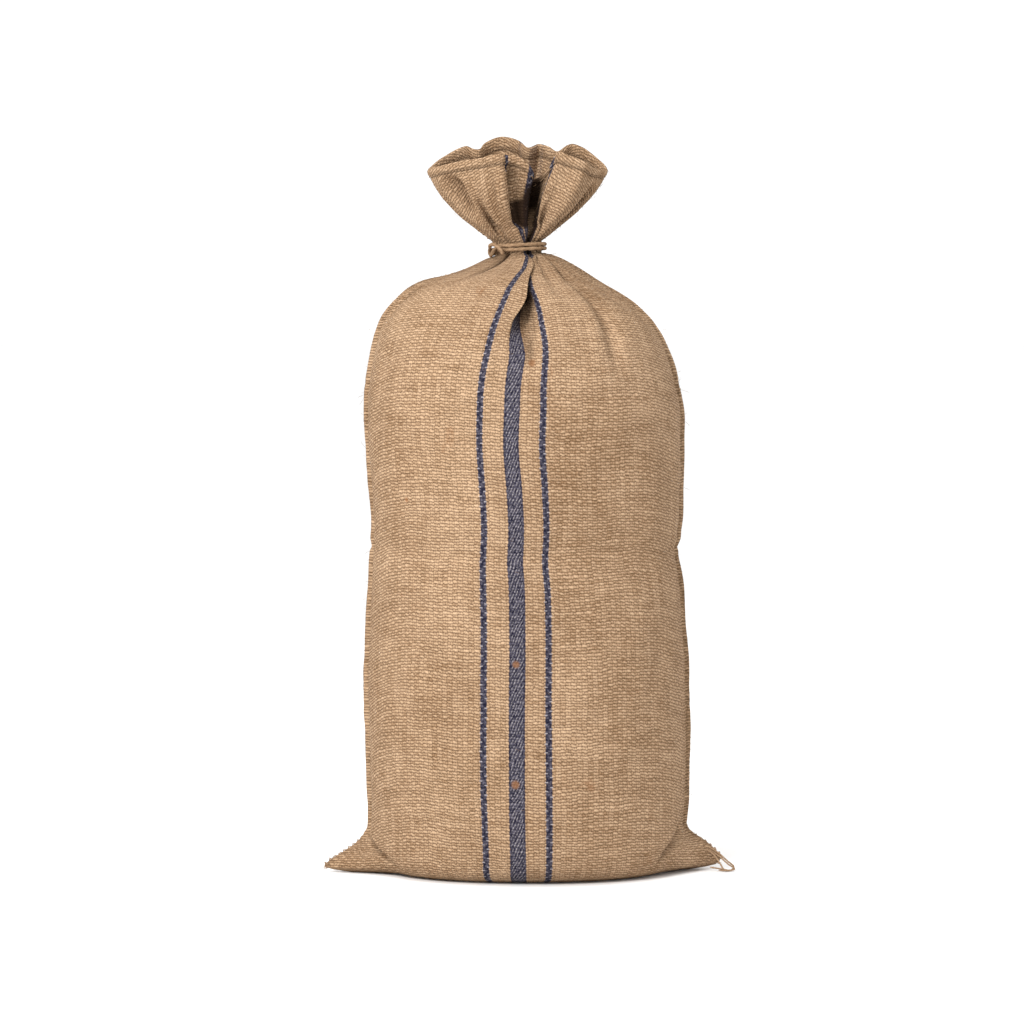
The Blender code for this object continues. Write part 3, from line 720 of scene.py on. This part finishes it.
class Wire:
    """A socket in a material's nodes; arithmetic on it adds Math nodes."""

    def __init__(self, tree, socket=None):
        self.tree = tree
        self.socket = socket

    def node(self, kind, settings=None, sockets=None, output=0):
        made = self.tree.nodes.new(kind)
        for key, value in (settings or {}).items():
            setattr(made, key, value)
        for key, value in (sockets or {}).items():
            if isinstance(value, Wire):
                self.tree.links.new(value.socket, made.inputs[key])
            else:
                made.inputs[key].default_value = value
        return Wire(self.tree, made.outputs[output])

    def maths(self, operation, *values):
        return self.node("ShaderNodeMath", {"operation": operation}, dict(enumerate(values)))

    def operator(operation):
        def method(self, *others):
            return self.maths(operation, self, *others)
        return method

    __add__ = __radd__ = operator("ADD")
    __mul__ = __rmul__ = operator("MULTIPLY")
    __sub__ = operator("SUBTRACT")
    __truediv__ = operator("DIVIDE")
    floor = operator("FLOOR")
    fraction = operator("FRACT")
    remainder = operator("FLOORED_MODULO")
    sine = operator("SINE")
    size = operator("ABSOLUTE")
    power = operator("POWER")
    below = operator("LESS_THAN")
    above = operator("GREATER_THAN")
    greater = operator("MAXIMUM")

    def __rsub__(self, other):
        return self.maths("SUBTRACT", other, self)

    def fade(self, start, end):
        """0 up to start, 1 past end, smooth between."""
        return self.node("ShaderNodeMapRange", {"interpolation_type": "SMOOTHSTEP"},
                         {"Value": self, "From Min": start, "From Max": end})

    def at(self, x, y, z=0.0):
        return self.node("ShaderNodeCombineXYZ", None, {"X": x, "Y": y, "Z": z})

    def cloudy(self, place, scale, detail=2.0, roughness=0.5):
        return self.node("ShaderNodeTexNoise", {"noise_dimensions": "3D"},
                         {"Vector": place, "Scale": scale, "Detail": detail,
                          "Roughness": roughness})

    def grain(self, x, y, z=0.0, detail=2.0, roughness=0.6):
        """Cloudy at unit scale, stretched by its coordinates."""
        return self.cloudy(self.at(x, y, z), 1.0, detail, roughness)

    def painted(self, name):
        return self.node("ShaderNodeAttribute", {"attribute_name": name}, None, 2)

    def into(self, shader, name):
        self.tree.links.new(self.socket, shader.inputs[name])

    def part(self, axis):
        return self.node("ShaderNodeSeparateXYZ", None, {"Vector": self}, axis)

    def mix(self, start, end):
        """Two colours mixed by this wire."""
        return self.node("ShaderNodeMix", {"data_type": "RGBA"},
                         {0: self, 6: start, 7: end}, 2)


PAIR = 0.0075  # from one pair of warp yarns to the next
PICK = 0.00426  # from one weft yarn to the next
NARROW_STRIPE = 0.0091
WIDE_STRIPE = 0.0229
LEFT_STRIPE = 0.2615  # middles of the three stripes, on the front
MIDDLE_STRIPE = 0.308
RIGHT_STRIPE = 0.3512
FLECK_SPACING = 0.0132  # about three picks: pale weft crosses each half of a narrow stripe
FLECK_LENGTH = 0.17
STEP_ACROSS = 0.0043  # the pale weft of the wide stripe climbs in steps of this width
STEP_UP = 0.0094  # and this height
BLUE = (0.012, 0.012, 0.026, 1.0)
WORN_BLUE = (0.105, 0.096, 0.122, 1.0)
FLECK = (0.42, 0.38, 0.39, 1.0)
JUTE = (0.345, 0.214, 0.12, 1.0)
# Pale jute, also the colour of the painted highlight on the yarns' crests.
PALE_JUTE_AND_HIGHLIGHT = (0.59, 0.408, 0.262, 1.0)
DARK_JUTE = (0.16, 0.085, 0.038, 1.0)
# Painted shade between the yarns.
YARN_VALLEY_SHADE = (0.04, 0.018, 0.007, 1.0)
# Near-black colour of the painted shade in deep folds and in the hem's stitch groove.
PAINTED_SHADE_DARK = (0.018, 0.009, 0.005, 1.0)
RUST = (0.23, 0.105, 0.045, 1.0)

# Small rust-brown stains: place round, height up the cloth, and radius.
STAINS = (
    (0.306, 0.335, 0.0065),
    (0.306, 0.168, 0.0065),
    (0.331, 0.756, 0.008),
    (0.14,  0.56,  0.005),
    (0.93,  0.42,  0.007),
)


def new_material(name):
    material = bpy.data.materials.new(name)
    material.use_nodes = True
    tree = material.node_tree
    shader = tree.nodes["Principled BSDF"]
    shader.inputs["Metallic"].default_value = 0.0
    shader.inputs["Specular IOR Level"].default_value = 0.08
    return material, tree, shader


jute_cloth, tree, shader = new_material("jute cloth")
start = Wire(tree)
cloth = start.node("ShaderNodeUVMap", {"uv_map": "cloth"})
plain_u = cloth.part(0)
plain_v = cloth.part(1)

crowded = start.painted("crowding")
outside_face = start.painted("outside")
painted_stitch_shade = start.painted("painted_stitch_shade")
painted_fold_shade = start.painted("painted_fold_shade")

wander = start.cloudy(cloth, 9.0, 3.0, 0.6) - 0.5
drift = start.cloudy(start.at(plain_u * 3.0, plain_v * 3.0, 4.0), 5.0, 3.0, 0.6) - 0.5
u = plain_u + wander * 0.0022
v = plain_v + drift * 0.011
gathered = crowded + wander * 0.8
grouping = 1.0 + gathered.above(1.5) + 2.0 * gathered.above(2.7)
row_shift = start.grain(plain_u * 9.0, (v / PICK).floor() * 7.7, 0.0, 1.0, 0.5) - 0.5
column_shift = start.grain((plain_u / PAIR).floor() * 5.1, plain_v * 22.0, 8.0, 1.0, 0.5) - 0.5
tremble = start.grain(plain_u * 330.0, plain_v * 330.0, 12.0, 2.0, 0.5) - 0.5
warp = (plain_u + wander * 0.006 + row_shift * 0.005 + tremble * 0.0034) / (grouping * PAIR)
across = warp.fraction()
weft = (v + column_shift * 0.003 + tremble * 0.0026) / PICK + (across - 0.5) * 0.24
pair_number = warp.floor()
pick_number = weft.floor()
along = weft.fraction()
weft_over = (pair_number + pick_number).remainder(2.0)

# Height of the yarns: a weft yarn rises over a pair of warp yarns, then dives under one.
row = (along * math.pi).sine()
weft_height = row.power(0.9) * (0.48 + 0.52 * (across * math.pi).sine())
warp_height = (0.26 + 0.34 * (across * (2.0 * math.pi)).sine().size()) * (0.25 + 0.75 * row)
slub = start.grain(u * 210.0, v * 330.0, 3.0)
weave = weft_over * weft_height + (1.0 - weft_over) * warp_height
weave = weave * (0.15 + 1.66 * slub)

# Yarns are thick and thin along their length, and pale and dark.
weft_streak = start.grain(u * 17.0, pick_number * 3.7)
warp_streak = start.grain(pair_number * 5.3, v * 13.0, 7.0)
blotch = start.cloudy(cloth, 6.0, 4.0, 0.6)
fibre = start.grain(u * 260.0, v * 900.0, 0.0, 3.0, 0.7)
speck = start.grain(u * 170.0, v * 240.0, 2.0, 1.0, 0.5).fade(0.7, 0.76)

tone = (weft_streak * 0.5 + warp_streak * 0.35 + blotch * 0.4 + fibre * 0.65) / 1.9
yarn = tone.fade(0.36, 0.64).mix(DARK_JUTE, PALE_JUTE_AND_HIGHLIGHT)
yarn = start.node("ShaderNodeMix", {"data_type": "RGBA"}, {0: 0.38, 6: yarn, 7: JUTE}, 2)
# Painted shade and highlight: by yarn height, valleys between yarns are dark, crests pale.
jute = weave.fade(-0.14, 0.58).mix(YARN_VALLEY_SHADE, yarn)
jute = (weave.fade(0.45, 1.15) * 0.55).mix(jute, PALE_JUTE_AND_HIGHLIGHT)
jute = (speck * 0.75).mix(jute, DARK_JUTE)
# Painted shade: the cloth in the hem's stitch groove is darkened.
jute = (painted_stitch_shade * 0.6).mix(jute, PAINTED_SHADE_DARK)
rust = start.grain(plain_u * 26.0, plain_v * 13.0, 11.0, 3.0).fade(0.66, 0.76) * 0.5
for place, rise, size in STAINS:
    away = start.node("ShaderNodeVectorMath", {"operation": "DISTANCE"},
                      {0: cloth, 1: (place, rise, 0.0)}, 1) + wander * 0.01
    rust = rust.greater(1.0 - away.fade(0.3 * size, size))


stripe_spread = 1.0 + (crowded - 1.0) * 0.75


def stripe_mask(middle, width):
    edge = (u - middle).size() / stripe_spread + weft_over * 0.0004
    return 1.0 - edge.fade(0.5 * width - 0.0006, 0.5 * width + 0.0008)


def narrow_flecks(middle):
    """Single weft yarns that cross one half of a narrow stripe, then the other."""
    half = (u - middle).above(0.0)
    crossing = (v / FLECK_SPACING + half * 0.5 + wander * 0.6).fraction()
    reach = (u - middle).size()
    near = reach.fade(0.0008, 0.002) * (1.0 - reach.fade(0.005, 0.006))
    return (crossing * math.pi / FLECK_LENGTH).sine() * crossing.below(FLECK_LENGTH) * near


def wide_flecks(middle):
    """Pale weft that steps up to the right, yarn by yarn, over the wide stripe."""
    climb = (u - middle) / STEP_ACROSS - v / STEP_UP + wander * 4.5 + tremble * 0.5
    climb = climb.fraction()
    inside = 1.0 - ((u - middle).size() / stripe_spread).fade(0.007, 0.0105)
    patchy = start.grain(u * 330.0, v * 210.0, 6.0).fade(0.38, 0.56)
    line = (climb * math.pi / 0.5).sine() * climb.below(0.5)
    return line * inside * patchy * (0.35 + 0.65 * row)


def mirrored(place):
    return ROUND - place


stripes = stripe_mask(MIDDLE_STRIPE, WIDE_STRIPE)
flecks = wide_flecks(MIDDLE_STRIPE)
for place in (LEFT_STRIPE, RIGHT_STRIPE, mirrored(LEFT_STRIPE), mirrored(RIGHT_STRIPE)):
    stripes = stripes.greater(stripe_mask(place, NARROW_STRIPE))
    flecks = flecks.greater(narrow_flecks(place))
stripes = stripes.greater(stripe_mask(mirrored(MIDDLE_STRIPE), WIDE_STRIPE))
flecks = flecks.greater(wide_flecks(mirrored(MIDDLE_STRIPE)))

wear = start.grain(u * 240.0, v * 150.0, 9.0, 3.0, 0.7)
blue = wear.fade(0.36, 0.68).mix(BLUE, WORN_BLUE)
# Painted shade: the blue is darkened between weft yarns.
blue = ((1.0 - row) * 0.6).mix(blue, (0.006, 0.006, 0.012, 1.0))
face = 0.18 + 0.82 * outside_face
colour = (stripes * face).mix(jute, blue)
colour = (flecks * face * 0.7).mix(colour, FLECK)
colour = (rust * 0.8).mix(colour, RUST)
# Painted shade: cloth shut deep in a fold is painted near black.
colour = (painted_fold_shade * 0.96).mix(colour, PAINTED_SHADE_DARK)

shader.inputs["Roughness"].default_value = 0.95
colour.into(shader, "Base Color")
relief = weave * 0.85 + fibre * 0.35 + flecks * 0.3 + weft_streak * 0.25
normal = start.node("ShaderNodeBump", None,
                    {"Strength": 0.9, "Distance": 0.002, "Height": relief})
normal.into(shader, "Normal")

sack_cloth.data.materials.append(jute_cloth)
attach(sack_cloth, "root")
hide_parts("sack")

# --------------------
# Tie.  One length of two-ply jute twine, two turns round the neck, its ends crossed in a
# half knot on the front, to the left.

TWINE = 0.0056
CLEARANCE = 0.0003
STRAND_GAP = 0.0004
KNOT_BEARING = -132.0
TURNS = 1.86
TURNS_START = 8.0
TURN_STEPS = 26
PLY_GROOVE = 0.3  # how deep the groove between two plies is, as a share of the radius
BLUNT_END = 0.35  # how thick a tapered end still is, as such a share

FIRST_END = (
    # round out   up
    (-25.0, 1.1,  -0.0086),
    (-18.0, 1.1,  -0.006),
    (-10.0, 1.0,  0.0005),
    (-2.0,  0.72, 0.0052),
)
LAST_END = (
    # round out   up
    (-36.0, 0.62, -0.006),
    (-27.0, 1.05, 0.002),
    (-16.0, 1.6,  0.0075),
    (-3.0,  1.85, 0.0075),
    (7.0,   1.75, 0.002),
    (12.0,  1.65, -0.004),
    (14.0,  1.5,  -0.0082),
)


def tie_point(degrees_round, out, up):
    bearing = math.radians(KNOT_BEARING + degrees_round)
    radius = NECK_RADIUS + CLEARANCE + (0.5 + out) * TWINE
    x = radius * math.cos(bearing)
    height = 0.5 * (WAIST_LOW + WAIST_HIGH) + up + NECK_TILT * x
    return (NECK_X + x, NECK_Y + radius * math.sin(bearing), height)


def tie_route():
    route = list(FIRST_END)
    for k in range(TURN_STEPS + 1):
        turned = TURNS_START / 360.0 + (TURNS - TURNS_START / 360.0) * k / TURN_STEPS
        route.append((360.0 * turned, 0.0, (TWINE + STRAND_GAP) * (0.5 * TURNS - turned)))
    route += [(360.0 * math.ceil(TURNS) + degrees, out, up) for degrees, out, up in LAST_END]
    return [tie_point(*row) for row in route]


def length_along(points):
    steps = norm(np.diff(points, axis=0), axis=1)
    return np.concatenate(([0.0], np.cumsum(steps)))


def direction_along(points):
    ahead = np.gradient(points, axis=0)
    return ahead / norm(ahead, axis=1)[:, None]


def even_route(points, spacing):
    """The smooth curve through the points, read at even steps."""
    points = np.asarray(points)
    along = length_along(points)
    rows = np.column_stack((along, points))
    fine = smooth_rows(rows, np.linspace(0.0, along[-1], len(points) * 40))
    length = length_along(fine)
    count = max(3, round(length[-1] / spacing))
    even = np.linspace(0.0, length[-1], count + 1)
    return np.column_stack([np.interp(even, length, fine[:, axis]) for axis in range(3)])


def carried_frames(route):
    """Two directions square to a route, carried along it without twisting."""
    ahead = direction_along(route)
    side = np.cross(ahead[0], (0.0, 0.0, 1.0))
    if norm(side) < 0.2:
        side = np.cross(ahead[0], (0.0, 1.0, 0.0))
    sides = []
    for direction in ahead:
        side = side - direction * np.dot(side, direction)
        side = side / norm(side)
        sides.append(side)
    sides = np.asarray(sides)
    return sides, np.cross(ahead, sides)


def strand_mesh(routes, radius, sides, plies=0, lay=0.0, taper=0.0):
    """Corners, faces and map of round or twisted strands that follow the routes."""
    corners, faces, loops = [], [], []
    for route in routes:
        count = len(route)
        side, up = carried_frames(route)
        length = length_along(route)
        angle = np.linspace(0.0, 2.0 * math.pi, sides, endpoint=False)
        turn = 2.0 * math.pi * length / lay if lay else np.zeros(count)
        reach = np.full((count, sides), radius)
        if plies:
            lobes = np.abs(np.cos(0.5 * plies * (angle[None, :] - turn[:, None])))
            reach = radius * (1.0 - PLY_GROOVE + PLY_GROOVE * lobes ** 0.7)
        if taper:
            near = np.minimum(length, length[-1] - length)
            reach = reach * np.clip(BLUNT_END + near / taper, 0.0, 1.0)[:, None]
        ring = (route[:, None, :]
                + reach[:, :, None] * (np.cos(angle)[None, :, None] * side[:, None, :]
                                       + np.sin(angle)[None, :, None] * up[:, None, :]))
        first = len(corners)
        corners.extend(ring.reshape(-1, 3).tolist())
        for k in range(count - 1):
            for i in range(sides):
                j = (i + 1) % sides
                a = first + k * sides
                faces.append((a + i, a + j, a + sides + j, a + sides + i))
                low, high = length[k], length[k + 1]
                left, right = i / sides, (i + 1) / sides
                loops.extend(((left, low), (right, low), (right, high), (left, high)))
        for end in (list(range(first, first + sides))[::-1],
                    list(range(first + (count - 1) * sides, first + count * sides))):
            faces.append(end)
            loops.extend((0.5, length[-1]) for _ in end)
    return corners, faces, loops


def strand_piece(name, *args, **settings):
    corners, faces, loops = strand_mesh(*args, **settings)
    return mesh_piece(name, corners, faces, "strand", loops)


def twine_material(name, pale, dark, lay):
    """Twisted jute fibres: streaks that wind round the strand."""
    material, tree, shader = new_material(name)
    start = Wire(tree)
    strand = start.node("ShaderNodeUVMap", {"uv_map": "strand"})
    turn = strand.part(0)
    length = strand.part(1)
    wound = (turn + length / lay).fraction()
    streak = start.cloudy(start.at((wound * (2.0 * math.pi)).sine() * 3.0, length * 70.0,
                                   wound * 9.0), 1.6, 3.0, 0.65)
    blotch = start.grain(length * 40.0, turn, 0.0, 2.0, 0.5)
    colour = (streak * 0.7 + blotch * 0.3).fade(0.32, 0.68).mix(dark, pale)
    colour.into(shader, "Base Color")
    shader.inputs["Roughness"].default_value = 0.92
    normal = start.node("ShaderNodeBump", None,
                        {"Strength": 0.8, "Distance": 0.0006, "Height": streak})
    normal.into(shader, "Normal")
    return material


jute_twine = twine_material("jute twine", (0.4, 0.262, 0.158, 1.0), (0.12, 0.068, 0.034, 1.0),
                            0.016)
tie = strand_piece("tie_twine", [even_route(tie_route(), 0.0011)], 0.5 * TWINE, 16,
                   plies=2, lay=0.03, taper=0.004)
tie.data.materials.append(jute_twine)
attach(tie, "root")
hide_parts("tie")

# --------------------
# Side seams.  The two selvedges are overcast together with coarse jute thread, from each
# bottom corner up to the mouth, so they stand out as a knobbly rib.

SEAM_THREAD = 0.0016
SEAM_STITCH = 0.0085
SEAM_LOOP = 0.0021
SEAM_SUNK = 0.0026  # how deep the stitches' middle lies under the rib's crest
SEAM_STEP = 0.0022
CORNER_TOP = 0.075  # the stitches are looser below this height,
CORNER_RISE = 0.045  # over this height,
CORNER_LOOSER = 0.9  # by this share


def seam_line(seam):
    """The crest of a side seam's rib, from the bottom corner to the mouth."""
    place = np.array([seam % ROUND])
    line = [body_ring(place, height)[0] for height in np.linspace(0.008, BODY_TOP, 150)]
    line += [neck_ring(place, height)[0] for height in (0.88, 0.887)]
    wall = collar_wall(place, parts, np.zeros(len(parts)))
    line += [ring[0] for ring in wall[:-1]]
    return even_route(line, SEAM_STEP)


overcast = []
for seam in (0.0, HALF_ROUND):
    crest = seam_line(seam)
    side, up = carried_frames(crest)
    length = np.arange(len(crest)) * norm(crest[1] - crest[0])
    wander = np.array([noise.noise(Vector((seam * 7.0, 0.0, value * 60.0))) for value in length])
    turn = 2.0 * math.pi * length / SEAM_STITCH + 0.9 * wander
    ahead = direction_along(crest)
    outward = np.column_stack((ahead[:, 2], np.zeros(len(crest)), -ahead[:, 0]))
    middle = crest - (1.0 if seam else -1.0) * SEAM_SUNK * outward
    near_corner = ease((CORNER_TOP - crest[:, 2]) / CORNER_RISE)
    loop = SEAM_LOOP * (1.0 + CORNER_LOOSER * near_corner)[:, None]
    overcast.append(middle + loop * (np.cos(turn)[:, None] * side + np.sin(turn)[:, None] * up))
seam_thread = twine_material("seam thread", (0.44, 0.3, 0.19, 1.0), (0.16, 0.092, 0.048, 1.0),
                             0.009)
seam_stitches = strand_piece("seam_stitches", overcast, 0.5 * SEAM_THREAD, 7)
seam_stitches.data.materials.append(seam_thread)
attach(seam_stitches, "root")

# --------------------
# Hem stitches.  The mouth is turned down once and sewn with a running stitch of thin
# jute thread, which dips in and out of the cloth.

HEM_STITCH = 0.0085
HEM_THREAD = 0.0013
STITCH_DIP = 0.0016  # how far the thread goes to each side of the cloth's middle

stitch_places = np.linspace(0.0, ROUND, int(ROUND / HEM_STITCH) * 4, endpoint=False)
levels = hem_foot + 0.02 + np.array([-0.01, 0.0, 0.01])
wall_line = collar_wall(stitch_places, levels, np.zeros(3))[1]
inward = collar_inward(stitch_places, levels)[1]
dip = np.sin(2.0 * math.pi * stitch_places / HEM_STITCH)
dip = np.sign(dip) * np.abs(dip) ** 0.4
thread_line = wall_line + inward * (0.5 * CLOTH + STITCH_DIP * dip)[:, None]
hem_stitches = strand_piece("hem_stitches", [even_route(thread_line, 0.0012)],
                            0.5 * HEM_THREAD, 5)
hem_stitches.data.materials.append(seam_thread)
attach(hem_stitches, "root")

# --------------------
# Frayed ends.  The seam thread is left long at the bottom right corner, in a loose loop,
# and jute fibres work out of the cloth along its seams, its mouth and all over the body.

LOOP_ROUTES = (
    ((0.26, -0.014, 0.033), (0.272, -0.02, 0.027), (0.286, -0.023, 0.015),
     (0.296, -0.025, 0.005), (0.293, -0.028, 0.0024), (0.278, -0.025, 0.003),
     (0.262, -0.02, 0.005)),
    ((0.261, -0.016, 0.03), (0.274, -0.022, 0.022), (0.288, -0.026, 0.01),
     (0.297, -0.029, 0.0034), (0.29, -0.032, 0.0019), (0.274, -0.03, 0.0019)),
    ((0.256, -0.018, 0.031), (0.268, -0.024, 0.023), (0.276, -0.03, 0.012),
     (0.282, -0.034, 0.0034), (0.288, -0.036, 0.0019)),
)
LOOP_THREAD = 0.0025

frayed_loop = strand_piece("frayed_loop", [even_route(route, 0.0015) for route in LOOP_ROUTES],
                           0.5 * LOOP_THREAD, 7, plies=2, lay=0.008, taper=0.006)
frayed_loop.data.materials.append(seam_thread)
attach(frayed_loop, "root")

FIBRE = 0.00028
FIBRE_COUNT = 900
NEAR_SEAMS = 0.35  # the share of the fibres that stand along the side seams,
SEAM_SPREAD = 0.006  # and how far from them
FIBRE_REACH = (0.004, 0.011)
FIBRE_LIFT = (0.15, 0.45)  # how far a fibre stands off, as a share of its reach
FIBRE_BOW = 2.2
FIBRE_CURL = 0.0012
FIBRE_SUNK = 0.0004

random = np.random.default_rng(7)
normals = ring_normals(outside_moved)
fibres = []
for k in range(FIBRE_COUNT):
    row_number = int(random.integers(base_count + 2, len(outside_moved) - 1))
    near_seam = random.random() < NEAR_SEAMS
    if near_seam:
        seam_place = 0.0 if random.random() < 0.5 else HALF_ROUND
        wanted = (seam_place + random.normal(0.0, SEAM_SPREAD)) % ROUND
    else:
        wanted = random.random() * ROUND
    column_number = int(np.argmin(np.abs(around(places, wanted))))
    foot = outside_moved[row_number, column_number]
    out = normals[row_number, column_number]
    sideways = random.normal(0.0, 1.0, 3)
    sideways -= out * np.dot(sideways, out)
    sideways /= norm(sideways)
    curl = random.normal(0.0, 1.0, 3)
    reach = random.uniform(*FIBRE_REACH)
    lift = random.uniform(*FIBRE_LIFT)
    ahead = np.linspace(0.0, 1.0, 6)[:, None]
    stand = out * (lift * reach * np.sin(ahead * FIBRE_BOW) - FIBRE_SUNK)
    fibres.append(foot + stand + sideways * reach * ahead + curl * FIBRE_CURL * ahead * ahead)
loose_fibres = strand_piece("loose_fibres", fibres, 0.5 * FIBRE, 4, taper=0.004)
loose_fibres.data.materials.append(jute_twine)
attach(loose_fibres, "root")

# --------------------
# Room.  A pale floor under a white sky, one soft light from the upper left and one from
# above, and the camera.

bpy.ops.mesh.primitive_plane_add(size=60.0, location=(0.0, 0.0, -0.0005))
floor = bpy.context.object
floor.name = "floor"
floor_paint, tree, shader = new_material("pale floor")
shader.inputs["Base Color"].default_value = (0.9, 0.9, 0.9, 1.0)
shader.inputs["Roughness"].default_value = 0.9
floor.data.materials.append(floor_paint)

world = bpy.data.worlds.new("studio")
world.use_nodes = True
world.node_tree.nodes["Background"].inputs["Color"].default_value = (1.0, 1.0, 1.0, 1.0)
world.node_tree.nodes["Background"].inputs["Strength"].default_value = 1.12
bpy.context.scene.world = world


def aimed(thing, place, aim):
    thing.location = place
    thing.rotation_euler = (Vector(aim) - Vector(place)).to_track_quat("-Z", "Y").to_euler()
    return thing


def soft_light(name, place, aim, width, power):
    lamp = bpy.data.lights.new(name, "AREA")
    lamp.shape = "SQUARE"
    lamp.size = width
    lamp.energy = power
    aimed(placed(name, lamp), place, aim)


soft_light("key", (-1.6, -3.0, 2.3), (0.0, 0.0, 0.55), 1.0, 125.0)
soft_light("top", (-0.3, -0.4, 3.6), (0.0, 0.0, 0.4), 2.0, 40.0)

VIEW_DISTANCE = 6.0
VIEW_HEIGHT = 0.9
VIEW_WIDTH = 1.454  # seen across the picture at the sack
VIEW_X = -0.0199
VIEW_AIM = 0.511

view = bpy.data.cameras.new("view")
view.angle = 2.0 * math.atan(0.5 * VIEW_WIDTH / VIEW_DISTANCE)
bpy.context.scene.camera = aimed(placed("camera", view), (VIEW_X, -VIEW_DISTANCE, VIEW_HEIGHT),
                                 (VIEW_X, 0.0, VIEW_AIM))
bpy.context.scene.view_settings.view_transform = "Standard"
